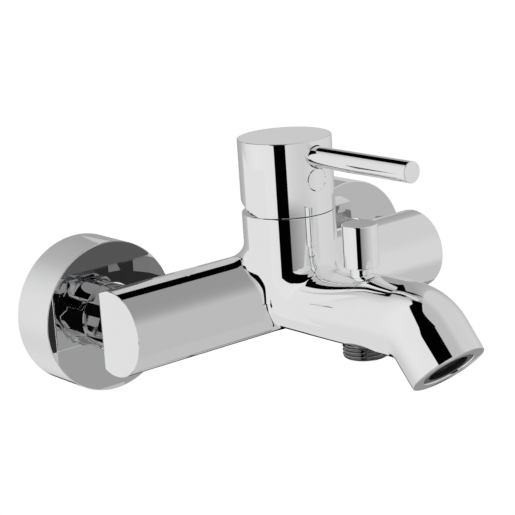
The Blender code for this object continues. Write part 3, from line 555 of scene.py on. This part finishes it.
def draw_out_arm(cage, side):
    """Straight arm from the middle's cut side to its flat end, with a quarter-round edge."""
    start, edge, spans, steps = 0.0300, 0.0009, 8, 8
    outward = Vector((side, 0, 0))
    rim = slice_off(cage, outward * start, outward, 5e-5)
    normals = [Vector((0, vertex.normal.y, vertex.normal.z)).normalized() for vertex in rim]
    straight = ARM_HALF - edge - start
    stations = [(start + straight * i / spans, 0.0) for i in range(1, spans + 1)]
    for i in range(1, steps + 1):
        angle = pi / 2 * i / steps
        stations.append((ARM_HALF - edge + edge * sin(angle), edge * (1 - cos(angle))))
    ring = rim
    for x, inset in stations:
        places = [vertex.co - normal * inset for vertex, normal in zip(rim, normals)]
        following = [cage.verts.new((side * x, place.y, place.z)) for place in places]
        bridge(cage, ring, following)
        ring = following
    cage.faces.new(list(reversed(ring)))


def casting_shell():
    """The casting's outside: its smooth middle, cropped flat at back, top and mouth, and both arms."""
    mesh = mesh_of("casting_skin", *casting_middle(0.0010))
    cage = bmesh.new()
    cage.from_mesh(mesh)
    crop(cage, (0, ARM_BACK_Y, 0), INTO_WALL, 0.0005)
    crop(cage, (0, 0, TOWER_TOP_Z), (0, 0, 1), 0.0003)
    crop(cage, MOUTH, MOUTH_OUT, 0.0003)
    for side in (LEFT, RIGHT):
        draw_out_arm(cage, side)
    bmesh.ops.recalc_face_normals(cage, faces=cage.faces[:])
    cage.to_mesh(mesh)
    cage.free()
    return mesh


def casting():
    """The casting with the bores that its inner parts sit in: a (radius, top) for each step of a bore."""
    nut_r, cartridge_r, ledge_z, floor_z = 0.0189, 0.0179, 0.0345, 0.0080
    steps = [(nut_r, TOWER_TOP_Z + 0.001), (cartridge_r, ledge_z)]
    cavity = stepped_mesh("cavity", steps, floor_z, (0, TOWER_Y, 0))
    diverter = stepped_mesh("diverter_bore", [
        (0.0056, 0.0230), (0.0053, 0.0173), (0.0072, 0.0113), (0.0056, 0.0068), (0.0095, 0.0044),
        (NIPPLE_R + 0.0002, OUTLET_SEAT_Z),
    ], -0.0200, (0, KNOB_Y, 0))
    throat_r, throat_end, chamfer = 0.0070, -0.0310, 0.0006
    mouth = turned_mesh("mouth_bore", [
        (0.0, 0.001), (SOCKET_R + chamfer, 0.001), (SOCKET_R, -chamfer / 2), (SOCKET_R, -SOCKET_DEPTH),
        (throat_r, -SOCKET_DEPTH), (throat_r, throat_end), (0.0, throat_end),
    ], MOUTH, MOUTH_OUT, sides=128, closed=False)
    tail_r, tail_end = 0.0093, -0.0120
    tails = [stepped_mesh("tail_bore", [(tail_r, 0.002)], tail_end, (x, ARM_BACK_Y, 0), INTO_WALL, 64)
             for x in (-INLET_X, INLET_X)]
    shown = cut(casting_shell(), cavity, diverter, mouth, *tails)
    keep_normals(shown, casting_field)
    piece_of("casting", shown, "fixed_body", "chrome", CHROME, "body_casting")


# ---------------------------- wall side
def rose(side, label):
    """Wall rose: a thin round cup, open to the wall, with a hole for the nut's skirt."""
    wall, edge, hole = 0.0013, 0.00045, 0.0157
    inside = ROSE_R - wall
    mesh = turned_mesh(label + "_rose", [
        (ROSE_R, 0.0), (ROSE_R, -ROSE_DEPTH, edge), (hole, -ROSE_DEPTH, 0.0002),
        (hole, -ROSE_DEPTH + wall, 0.0002), (inside, -ROSE_DEPTH + wall, 0.0006), (inside, 0.0),
    ], (side * INLET_X, 0.0, 0.0), INTO_WALL, sides=192)
    piece_of(label + "_rose", mesh, "fixed_body", "chrome", CHROME, label + "_escutcheon")


def nut(side, label):
    """Coupling nut: a chamfered hexagon and a round skirt."""
    across, hexagon, length = 0.0300, 0.0064, 0.0217
    corner_r, chamfer = 0.0169, 0.0014
    face_r = corner_r - chamfer * 1.6
    skirt_r, thread_r, tail_r, seat = 0.0153, 0.0134, 0.0108, 0.0005
    cage = bmesh.new()
    turn = Matrix.Rotation(radians(30), 4, "Z")
    bmesh.ops.create_cone(cage, cap_ends=True, segments=6, radius1=across / sqrt(3), radius2=across / sqrt(3),
                          depth=hexagon, matrix=turn @ Matrix.Translation((0, 0, hexagon / 2)))
    prism = bpy.data.meshes.new("prism")
    cage.to_mesh(prism)
    cage.free()
    barrel = turned_mesh("barrel", [
        (0.0, hexagon), (face_r, hexagon), (corner_r, hexagon - chamfer), (corner_r, chamfer), (face_r, 0.0),
        (0.0, 0.0),
    ], sides=96, closed=False)
    skirt = turned_mesh("skirt", [
        (0.0, length), (skirt_r, length, 0.0004), (skirt_r, hexagon / 2), (0.0, hexagon / 2),
    ], closed=False)
    bore = stepped_mesh("nut_bore", [(thread_r, length + 0.001), (tail_r, hexagon)], -0.001)
    mesh = combine(prism, ("INTERSECT", barrel), ("UNION", skirt), ("DIFFERENCE", bore))
    mesh.transform(turn_matrix((side * INLET_X, ARM_BACK_Y + seat, 0.0), INTO_WALL))
    mesh.shade_smooth()
    mesh.set_sharp_from_angle(angle=radians(25))
    # the nut is chrome, darkened here as painted shade for the gap it sits in
    piece_of(label + "_nut", mesh, "fixed_body", "chrome", SHADED_NUT_CHROME, label + "_union_nut")


# ---------------------------- handle
def handle_cap():
    """Handle head with the rear relief that lets it tip back."""
    bore_r, roof, edge, rim = 0.0190, 0.0515, 0.0005, 0.0003
    low, high, front = CAP_LOW.z, CAP_HIGH.z, CAP_LOW.y
    base = turned_mesh("handle_head", [
        (0.0, high), (CAP_R, high, edge), (CAP_R, low, rim), (bore_r, low, rim), (bore_r, roof), (0.0, roof),
    ], (0, TOWER_Y, 0), sides=256, closed=False)
    relief_y, relief_tilt = TOWER_Y - 0.0048, radians(18.7)
    relief = box_mesh("relief", (-0.03, relief_y, low - 0.03), (0.03, relief_y + 0.06, low), relief_tilt,
                      (0, relief_y, low))
    half, socket_top = 0.0041, 0.0625
    socket = box_mesh("socket", (-half, TOWER_Y - half, roof - 0.001), (half, TOWER_Y + half, socket_top))
    hole_r, lead_r, deep = ROD_R + GAP, ROD_R + 0.0007, 0.0120
    rod = turned_mesh("rod_bore", [
        (0.0, deep), (hole_r, deep), (hole_r, 0.0003), (lead_r, -0.0010), (lead_r, -0.002), (0.0, -0.002),
    ], (0, front, ROD_Z), INTO_WALL, sides=64, closed=False)
    at_button, recess_depth, grub_r, grub_depth = (0, front, BUTTON_Z), 0.0030, 0.0028, 0.0180
    recess = stepped_mesh("recess", [(BUTTON_R + 0.0005, recess_depth)], -0.002, at_button, INTO_WALL, 64)
    grub = stepped_mesh("grub_bore", [(grub_r, grub_depth)], 0.002, at_button, INTO_WALL, 32)
    mesh = cut(base, relief, socket, rod, recess, grub)
    keep_normals(mesh, rounded_bar_field((0, TOWER_Y), CAP_R, low - 0.02, high, edge))
    piece_of("handle_head", mesh, "lever", "chrome", CHROME, "handle_cap")


def lever():
    """Round lever rod with fine rounded ends."""
    edge = 0.0004
    length = ROD_HIGH.y - ROD_LOW.y
    mesh = turned_mesh("lever_rod_skin", [
        (0.0, length), (ROD_R, length, edge), (ROD_R, 0.0, edge), (0.0, 0.0),
    ], (0, ROD_HIGH.y, ROD_Z), (0, -1, 0), sides=96, closed=False)
    piece_of("lever", mesh, "lever", "chrome", CHROME, "lever_rod")


def button():
    """Index button: it follows the head's round wall."""
    plug = stepped_mesh("plug", [(BUTTON_R, 0.0027)], -0.002, (0, CAP_LOW.y, BUTTON_Z), INTO_WALL)
    wall = stepped_mesh("wall", [(CAP_R, BUTTON_Z + 0.01)], BUTTON_Z - 0.01, (0, TOWER_Y, 0), sides=512)
    mesh = combine(plug, ("INTERSECT", wall))
    keep_normals(mesh, rounded_bar_field((0, TOWER_Y), CAP_R, 0, 0.2, 0.0005))
    piece_of("button", mesh, "lever", "chrome", CHROME, "index_button")


# ---------------------------- diverter and outlet
def knob():
    """Diverter knob: a round cap with a bore for its stem."""
    low, high, edge = KNOB_LOW.z, KNOB_HIGH.z, 0.00045
    stem_r, stem_top = 0.0028, 0.0340
    mesh = turned_mesh("knob", [
        (0.0, high), (KNOB_R, high, edge), (KNOB_R, low, edge), (stem_r, low), (stem_r, stem_top),
        (0.0, stem_top),
    ], (0, KNOB_Y, 0), sides=160, closed=False)
    piece_of("knob", mesh, "diverter", "chrome", CHROME, "diverter_knob")


def knob_bush():
    """Guide bush under the knob, with a groove for the stem's seal."""
    low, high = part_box("diverter_bush")
    collar_r, collar_low, body_r, stem_r = 0.00525, 0.0174, 0.0050, 0.0028
    groove_r, groove_low, groove_high = 0.0043, 0.0138, 0.0158
    mesh = turned_mesh("bush", [
        (collar_r, high.z, 0.0003), (collar_r, collar_low), (body_r, collar_low), (body_r, low.z),
        (stem_r, low.z), (stem_r, groove_low), (groove_r, groove_low), (groove_r, groove_high),
        (stem_r, groove_high), (stem_r, high.z, 0.0002),
    ], (0, KNOB_Y, 0), sides=96)
    piece_of("knob_bush", mesh, "fixed_body", "chrome", CHROME, "diverter_bush")


def cut_thread(mesh, low, high):
    """Sink a G 1/2 thread into the outlet's outer wall between two heights, as a true helix."""
    pitch, depth = 0.001814, 0.00116
    for vertex in mesh.vertices:
        across, along = vertex.co.x, vertex.co.y - KNOB_Y
        radius = hypot(across, along)
        if radius > NIPPLE_R - 0.0001 and low < vertex.co.z < high - 1e-6:
            turn = (high - vertex.co.z) / pitch + atan2(along, across) / (2 * pi)
            sunk = depth * (0.5 - 0.5 * cos(2 * pi * turn)) / radius
            vertex.co.x -= across * sunk
            vertex.co.y -= along * sunk


def nipple():
    """Shower outlet: a grooved spigot, a plain flange and a male thread, with a stepped bore."""
    flange, edge, rows = 0.0006, 0.0004, 64
    spigot_r, groove_r, groove_low, groove_high = 0.0091, 0.0079, -0.0119, -0.0106
    socket_r, socket_top, bore_r = 0.0076, -0.0125, 0.0050
    shoulder, low, high = OUTLET_SEAT_Z - GAP, NIPPLE_LOW.z, NIPPLE_HIGH.z
    top = shoulder - flange
    length = top - low - edge
    wall = [(NIPPLE_R - 0.00001, top - length * i / rows) for i in range(1, rows)]
    mesh = turned_mesh("nipple", [
        (spigot_r, high), (spigot_r, groove_high), (groove_r, groove_high), (groove_r, groove_low),
        (spigot_r, groove_low), (spigot_r, shoulder), (NIPPLE_R, shoulder), (NIPPLE_R, top), *wall,
        (NIPPLE_R - edge, low + edge), (NIPPLE_R - 2 * edge, low), (socket_r, low, 0.0002),
        (socket_r, socket_top), (bore_r, socket_top), (bore_r, high),
    ], (0, KNOB_Y, 0), true_normals=False)
    cut_thread(mesh, low + edge, top)
    mesh.set_sharp_from_angle(angle=radians(50))
    # the outlet is chrome, darkened here as painted shade for its recess
    piece_of("nipple", mesh, "fixed_body", "chrome", SHADED_THREAD_CHROME, "shower_nipple")


def aerator():
    """The jet former in the mouth: a dark ring, and a dark face with round ribs about a small hub."""
    lip, face, back, low = -0.0004, -0.0022, -0.0112, -0.0080
    ring_r, wall_r, open_r, face_r = 0.0119, 0.0103, 0.0094, 0.0100
    mesh = turned_mesh("housing", [
        (ring_r, lip, 0.0003), (ring_r, back), (wall_r, back), (wall_r, face), (open_r, face),
        (open_r, lip, 0.0003),
    ], MOUTH, MOUTH_OUT)
    piece_of("aerator_ring", mesh, "fixed_body", "grey_plastic", DARK_PLASTIC, "aerator_housing")

    top, hub_r, rib, height, edge = face - GAP, 0.0011, 0.00035, 0.0022, 0.0001
    foot, crest = top - height, top - 0.0002
    profile = [(0.0, top), (hub_r, top, edge), (hub_r, foot)]
    for i in range(5):
        radius = 0.0026 + 0.0015 * i
        profile += [(radius - rib, foot), (radius - rib, crest, edge), (radius + rib, crest, edge),
                    (radius + rib, foot)]
    profile += [(open_r, foot), (open_r, top), (face_r, top), (face_r, low), (0.0, low)]
    mesh = turned_mesh("aerator_face", profile, MOUTH, MOUTH_OUT, sides=96, closed=False)
    piece_of("aerator_face", mesh, "fixed_body", "grey_plastic", DARK_PLASTIC, "aerator_insert")


# ---------------------------- camera and studio
def camera():
    """A long lens, left of the mixer and a little above it."""
    data = bpy.data.cameras.new("camera")
    data.sensor_width = 36.0
    data.lens = 124.89
    data.clip_start, data.clip_end = 0.05, 50.0
    eye = bpy.data.objects.new("camera", data)
    SCENE.collection.objects.link(eye)
    eye.location = (-0.514896, -0.682015, 0.226932)
    eye.rotation_euler = [radians(turn) for turn in (75.46341, 3.73586, -39.72779)]
    SCENE.camera = eye


AROUND = {                              # brightness of the surroundings by azimuth, from -Y towards +X
    -172: 187, -160: 206, -147: 224, -120: 233, -80: 230, -45: 224, -28: 213, 0: 206, 40: 217, 90: 213,
    105: 206, 115: 198, 126: 175, 137: 162, 150: 165,
}
WALLWARD = 180                          # the same at +Y
GAP_AZIMUTH = radians(-60)              # the dark gap between two walls of light starts here, runs overhead
FLOOR_Z, FLOOR_R = -0.6, 14.0


def light_level(shade):
    """Linear light for a display brightness of 0 to 255."""
    share = shade / 255
    return share / 12.92 if share <= 0.04045 else ((share + 0.055) / 1.055) ** 2.4


def grey(shade):
    """A display brightness of 0 to 255 as a linear colour."""
    return (light_level(shade),) * 3 + (1.0,)


class Wiring:
    """Short calls for the maths of a node tree."""

    def __init__(self, tree):
        self.tree = tree

    def maths(self, operation, *values):
        """One step of arithmetic on sockets or numbers."""
        node = self.tree.nodes.new("ShaderNodeMath")
        node.operation = operation
        for socket, value in zip(node.inputs, values):
            self.feed(socket, value)
        return node.outputs[0]

    def feed(self, socket, value):
        """Link a socket into another, or set it to a number."""
        if isinstance(value, bpy.types.NodeSocket):
            self.tree.links.new(value, socket)
        else:
            socket.default_value = value

    def plus(self, a, b):
        """The sum of two values."""
        return self.maths("ADD", a, b)

    def times(self, a, b):
        """The product of two values."""
        return self.maths("MULTIPLY", a, b)

    def minus(self, a, b):
        """a with b taken off."""
        return self.maths("SUBTRACT", a, b)

    def larger(self, a, b):
        """The larger of two values."""
        return self.maths("MAXIMUM", a, b)

    def ramp(self, value, low, high, start=0.0, end=1.0, smooth=True):
        """From start to end as the value goes from low to high."""
        node = self.tree.nodes.new("ShaderNodeMapRange")
        node.interpolation_type = "SMOOTHSTEP" if smooth else "LINEAR"
        for socket, number in zip(node.inputs, (value, low, high, start, end)):
            self.feed(socket, number)
        return node.outputs[0]

    def between(self, value, low, high, edge):
        """1 inside a band and 0 outside it."""
        rising = self.ramp(value, low - edge, low + edge)
        return self.times(rising, self.ramp(value, high - edge, high + edge, 1.0, 0.0))

    def dot(self, parts, direction):
        """The share of a direction that lies along another."""
        total = None
        for part, share in zip(parts, direction):
            term = self.times(part, share)
            total = term if total is None else self.plus(total, term)
        return total

    def mix(self, share, a, b):
        """a where the share is 0, b where it is 1."""
        change = self.minus(b, a)
        return self.maths("MULTIPLY_ADD", change, share, a)


def walls_of_light(wires, sky, azimuth, side, ahead):
    """Light walls by azimuth, greyer on the right, with the studio's white sweep below the horizon."""
    x, _, z = sky
    times, minus, ramp, between, mix = wires.times, wires.minus, wires.ramp, wires.between, wires.mix
    stops = wires.tree.nodes.new("ShaderNodeValToRGB")
    line = stops.color_ramp
    for end in line.elements:
        end.color = grey(WALLWARD)
    for degrees_round, shade in AROUND.items():
        line.elements.new((degrees_round + 180) / 360).color = grey(shade)
    wires.feed(stops.inputs["Fac"], ramp(azimuth, -pi, pi, smooth=False))
    on_right = ramp(side, 0.0, 0.02)

    # the right wall is a little darker overhead
    overhead = ramp(x, 0.10, 0.45, light_level(190), light_level(209))
    light = mix(times(on_right, ramp(z, 0.2, 0.6)), stops.outputs["Color"], overhead)
    # the sweep, darker on the right
    split = ramp(ahead, -0.3, 0.2, -0.35, 0.0)
    sweep = mix(ramp(minus(side, split), 0.0, 0.02), light_level(221), light_level(194))
    light = mix(ramp(z, -0.30, -0.62), light, sweep)
    # a dim strip low on the right, a little lighter towards +X along its upper edge
    upper = ramp(azimuth, radians(-40), radians(22), light_level(138), light_level(206), smooth=False)
    strip_light = mix(ramp(z, -0.265, -0.285), upper, light_level(157))
    low_strip = times(between(z, -0.375, -0.225, 0.008), ramp(x, 0.56, 0.53))
    return mix(times(low_strip, on_right), light, strip_light)


def patches_behind(wires, sky, azimuth, light):
    """A light strip behind, and grey and black low down there, for the mouth and the lower outlines."""
    x, y, z = sky
    times, minus, ramp, between, mix = wires.times, wires.minus, wires.ramp, wires.between, wires.mix
    strip = times(between(azimuth, radians(133), radians(142.5), radians(1)), between(z, -0.25, 0.21, 0.01))
    light = mix(strip, light, light_level(203))
    mouth = times(between(azimuth, radians(112), radians(131), radians(2)), between(z, -0.71, -0.54, 0.02))
    light = mix(mouth, light, light_level(148))
    under_from = ramp(z, -0.32, -0.42, -0.33, 0.38)
    under = times(ramp(minus(x, under_from), -0.03, 0.03), ramp(y, 0.50, 0.56))
    under = times(under, between(z, -0.56, -0.275, 0.01))
    return mix(under, light, 0.001)


def dark_gap(wires, sky, side, ahead):
    """1 in the gap between the two walls of light, which runs from ahead, overhead, to behind."""
    x, y, z = sky
    plus, minus, times, larger = wires.plus, wires.minus, wires.times, wires.larger
    ramp, between = wires.ramp, wires.between
    right_edge = ramp(ahead, 0.0, 0.46, 0.09, 0.35, smooth=False)
    right_edge = times(right_edge, ramp(z, 0.80, 0.97, 1.0, 0.0, smooth=False))
    right_edge = plus(right_edge, ramp(ahead, -0.40, -0.50, 0.0, -0.40))
    left_ahead = ramp(z, -0.2, 0.45, -0.12, -0.25, smooth=False)
    left_high = times(ramp(ahead, 0.05, 0.20), ramp(z, 0.62, 0.90, 0.0, -0.10, smooth=False))
    left_ahead = plus(left_ahead, left_high)
    left_edge = plus(left_ahead, ramp(ahead, -0.05, -0.35, 0.0, -0.31))
    gap = times(ramp(minus(side, left_edge), -0.006, 0.006), ramp(minus(side, right_edge), 0.006, -0.006))
    # where it stops: low down, far to the right, and straight overhead
    lowest = ramp(ahead, -0.2, 0.2, 0.53, -0.32)
    gap = times(gap, ramp(minus(z, lowest), -0.006, 0.006))
    gap = times(gap, larger(ramp(x, 0.63, 0.61), ramp(ahead, 0.0, 0.1)))
    gap = times(gap, larger(ramp(ahead, -0.13, -0.09), ramp(z, 0.93, 0.90)))
    # a dark patch high behind, for the lever's upper line
    behind = times(ramp(y, 0.63, 0.67), between(x, -0.14, 0.32, 0.02))
    return larger(gap, times(behind, ramp(z, 0.58, 0.62)))


def dark_seam(wires, z, side, ahead):
    """1 in the seam that goes on below the gap, down to the floor."""
    maths, times, minus, ramp = wires.maths, wires.times, wires.minus, wires.ramp
    half = ramp(ahead, 0.3, 0.8, 0.042, 0.15)
    middle = maths("MULTIPLY_ADD", maths("ABSOLUTE", ahead), 0.06, -0.17)
    past = minus(maths("ABSOLUTE", minus(side, middle)), half)
    top = ramp(ahead, -0.2, 0.2, -0.84, -0.29)
    return times(ramp(past, 0.006, -0.006), ramp(minus(z, top), 0.01, -0.01))


def surroundings(wires, sky):
    """Brightness by direction: a white wall of light on the left, a grey one on the right, a dark gap."""
    x, y, z = sky
    azimuth = wires.maths("ARCTAN2", x, wires.times(y, -1.0))
    side = wires.dot((x, y), (cos(GAP_AZIMUTH), sin(GAP_AZIMUTH)))
    ahead = wires.dot((x, y), (sin(GAP_AZIMUTH), -cos(GAP_AZIMUTH)))
    light = walls_of_light(wires, sky, azimuth, side, ahead)
    light = patches_behind(wires, sky, azimuth, light)
    dark = wires.larger(dark_gap(wires, sky, side, ahead), dark_seam(wires, z, side, ahead))
    return wires.mix(dark, light, 0.0005)


def card(name, quads):
    """A one-sided glowing card of patches, each corner with its own brightness: a painted reflection, seen
    only in the chrome. The camera misses it.
    """
    corners = [corner for quad in quads for corner, _ in quad]
    faces = [tuple(range(4 * i, 4 * i + 4)) for i in range(len(quads))]
    mesh = mesh_of(name, corners, faces)
    shades = mesh.color_attributes.new("shade", "FLOAT_COLOR", "POINT")
    for i, (_, shade) in enumerate(pair for quad in quads for pair in quad):
        shades.data[i].color = grey(shade)
    material = bpy.data.materials.new(name)
    material.use_nodes = True
    tree = material.node_tree
    tree.nodes.clear()
    painted = tree.nodes.new("ShaderNodeAttribute")
    painted.attribute_name = "shade"
    # the painted brightness glows and only glossy rays see it: a painted reflection
    glow = tree.nodes.new("ShaderNodeEmission")
    clear = tree.nodes.new("ShaderNodeBsdfTransparent")
    choice = tree.nodes.new("ShaderNodeMixShader")
    output = tree.nodes.new("ShaderNodeOutputMaterial")
    tree.links.new(painted.outputs["Color"], glow.inputs["Color"])
    tree.links.new(tree.nodes.new("ShaderNodeNewGeometry").outputs["Backfacing"], choice.inputs[0])
    tree.links.new(glow.outputs[0], choice.inputs[1])
    tree.links.new(clear.outputs[0], choice.inputs[2])
    tree.links.new(choice.outputs[0], output.inputs["Surface"])
    mesh.materials.append(material)
    sheet = bpy.data.objects.new(name, mesh)
    SCENE.collection.objects.link(sheet)
    sheet.visible_camera = False
    sheet.visible_diffuse = False
    sheet.visible_shadow = False


def arm_point(x, angle, scale=1.0, out=0.0, along=0.0):
    """A point at the arm: an angle up from the front around its section, then out along another angle."""
    y = ARM_Y - ARM_RY * scale * cos(angle) - out * cos(along)
    z = ARM_Z + ARM_RZ * scale * sin(angle) + out * sin(along)
    return (x, y, z)


def arm_painted_reflection_card():
    """A glowing card beside the tower that hides the body from the left arm: a painted reflection seen only
    in the chrome, grey, a black stripe, then light.
    """
    x, reach, view_angle, scale = -0.0222, 0.13, 20.2, 0.97
    spans = [                           # degrees up from the front, and the brightness at either end
        (-64, 20, 190, 190), (20, 30, 190, 178), (30, 40, 178, 164), (40, 50, 164, 156), (50, 65, 156, 152),
        (65, 105, 152, 152), (105, 131, 0, 0), (131, 165, 197, 197),
    ]
    quads = []
    for low, high, low_shade, high_shade in spans:
        count = round((high - low) / 5)
        for i in range(count):
            pair = []
            for share in (i / count, (i + 1) / count):
                angle = low + (high - low) * share
                shade = low_shade + (high_shade - low_shade) * share
                root = radians((angle + view_angle) / 2)
                far = arm_point(x, root, scale, reach, radians(angle))
                pair.append((arm_point(x, root, scale), far, shade))
            (near_a, far_a, shade_a), (near_b, far_b, shade_b) = pair
            quads.append([(near_a, shade_a), (far_a, shade_a), (far_b, shade_b), (near_b, shade_b)])
    card("arm_painted_reflection_card", quads)


def arm_painted_reflection_wrap():
    """A glowing white sheet round the front of the left arm, seen only in the chrome: a painted reflection,
    so that the body mirrors no dark lines from it.
    """
    white, scale, first, last, count = 228, 1.015, radians(-100), radians(112), 24
    left, right = -ARM_HALF + 0.0005, -0.0285
    quads = []
    for i in range(count):
        a, b = (first + (last - first) * k / count for k in (i, i + 1))
        ring = [arm_point(x, angle, scale) for x, angle in ((right, a), (right, b), (left, b), (left, a))]
        quads.append([(corner, white) for corner in ring])
    card("arm_painted_reflection_wrap", quads)


def patch_at_x(x, y_a, y_b, z_a, z_b, shade):
    """A flat patch at one x. It faces +X if y and z both rise, and -X if one of them falls."""
    return [((x, y_a, z_a), shade), ((x, y_b, z_a), shade), ((x, y_b, z_b), shade), ((x, y_a, z_b), shade)]


def patch_at_y(y, x_a, x_b, z_a, z_b, shade):
    """A flat patch at one y. It faces -Y if x and z both rise, and +Y if one of them falls."""
    return [((x_a, y, z_a), shade), ((x_b, y, z_a), shade), ((x_b, y, z_b), shade), ((x_a, y, z_b), shade)]


def rose_painted_reflection_flags():
    """Glowing sheets round the gap between the left rose and its arm, seen only in the chrome: painted
    reflections, the dark ones painted shade in the gap, with a white back towards the body.
    """
    dark, dim, upper, above, beside, below, white = 14, 42, 190, 85, 118, 157, 228
    front, back, low, high = ARM_BACK_Y, -ROSE_DEPTH, -0.0405, 0.037
    arm_top, arm_foot = ARM_Z + 0.0165, ARM_Z - 0.0175
    west, east = -ARM_HALF + 0.0002, -INLET_X + 0.037
    split, far, step = -0.0295, -0.010, 0.0092
    arm_front, end_x, end_z, past_end = -0.0725, -ARM_HALF - 0.0007, 0.0225, -0.0985
    screen_front, screen_back, screen_top, tower_side = -0.073, 0.002, 0.060, -0.0225
    card("rose_painted_reflection_flags", [
        patch_at_x(end_x, arm_front, front, -end_z, end_z, white),
        patch_at_y(front, past_end, -ARM_HALF, arm_top, arm_foot, dim),
        patch_at_x(east, front, split, arm_top, step, beside),
        patch_at_x(east, front, split, step, low, dim),
        patch_at_x(east, split, far, arm_top, low, dim),
        patch_at_x(east, front, back, high, arm_top, upper),
        patch_at_x(west, front, back, arm_foot, arm_top, dark),
        patch_at_y(front, west, east, high, arm_top, above),
        patch_at_y(front, east, tower_side, high, arm_top, beside),
        patch_at_y(front, west, east, arm_foot, low, below),
        patch_at_x(east + GAP, screen_front, screen_back, low, screen_top, white),
    ])


def right_rose_painted_reflection_flag():
    """Glowing sheets seen only in the chrome: a grey one past the right rose, a painted reflection for its
    face, and a dim one below it, painted shade for the gap behind the arm.
    """
    face, gap_top, gap_foot = 182, 118, 60
    x, front, back, top, foot = INLET_X + ROSE_R + 0.0004, ARM_BACK_Y, -0.012, 0.0262, -0.030
    reach, reach_foot, low_end, high_end = -0.076, 0.0020, 0.0072, 0.0132
    card("right_rose_painted_reflection_flag", [
        [((x, back, foot), gap_foot), ((x, front, foot), gap_foot),
         ((x, front, low_end), gap_top), ((x, back, high_end), gap_top)],
        [((x, back, high_end), face), ((x, front, low_end), face),
         ((x, front, top), face), ((x, back, top), face)],
        patch_at_x(x, front, reach, reach_foot, top, face),
    ])


def studio_world():
    """The surroundings as the world's light, plain white to the camera."""
    world = bpy.data.worlds.new("studio")
    SCENE.world = world
    world.use_nodes = True
    tree = world.node_tree
    wires = Wiring(tree)
    sky = tree.nodes.new("ShaderNodeSeparateXYZ")
    tree.links.new(tree.nodes.new("ShaderNodeTexCoord").outputs["Generated"], sky.inputs[0])
    light = surroundings(wires, sky.outputs)
    seen = tree.nodes.new("ShaderNodeLightPath").outputs["Is Camera Ray"]
    wires.feed(tree.nodes["Background"].inputs["Color"], wires.mix(seen, light, 1.0))


def studio_floor():
    """A wide pale floor far below, which the chrome doesn't mirror."""
    mesh = bpy.data.meshes.new("studio_floor")
    cage = bmesh.new()
    place = Matrix.Translation((0, 0, FLOOR_Z))
    bmesh.ops.create_circle(cage, cap_ends=True, segments=96, radius=FLOOR_R, matrix=place)
    cage.to_mesh(mesh)
    cage.free()
    paint = bpy.data.materials.new("studio_floor")
    paint.use_nodes = True
    shader = paint.node_tree.nodes["Principled BSDF"]
    shader.inputs["Base Color"].default_value = (0.9, 0.9, 0.9, 1.0)
    shader.inputs["Roughness"].default_value = 0.9
    shader.inputs["Emission Color"].default_value = (1.0, 1.0, 1.0, 1.0)
    shader.inputs["Emission Strength"].default_value = 0.6
    mesh.materials.append(paint)
    floor = bpy.data.objects.new("studio_floor", mesh)
    SCENE.collection.objects.link(floor)
    floor.visible_glossy = False


def studio():
    """Soft light all round, a pale floor, and glowing cards near the chrome that paint reflections and shade
    into it.
    """
    SCENE.view_settings.view_transform = "Standard"
    studio_world()
    studio_floor()
    arm_painted_reflection_card()
    arm_painted_reflection_wrap()
    rose_painted_reflection_flags()
    right_rose_painted_reflection_flag()


# ---------------------------- assembly
casting()
for side, label in ((LEFT, "left"), (RIGHT, "right")):
    rose(side, label)
    nut(side, label)
handle_cap()
lever()
button()
knob()
knob_bush()
nipple()
aerator()
finish_inner_nodes()
camera()
studio()
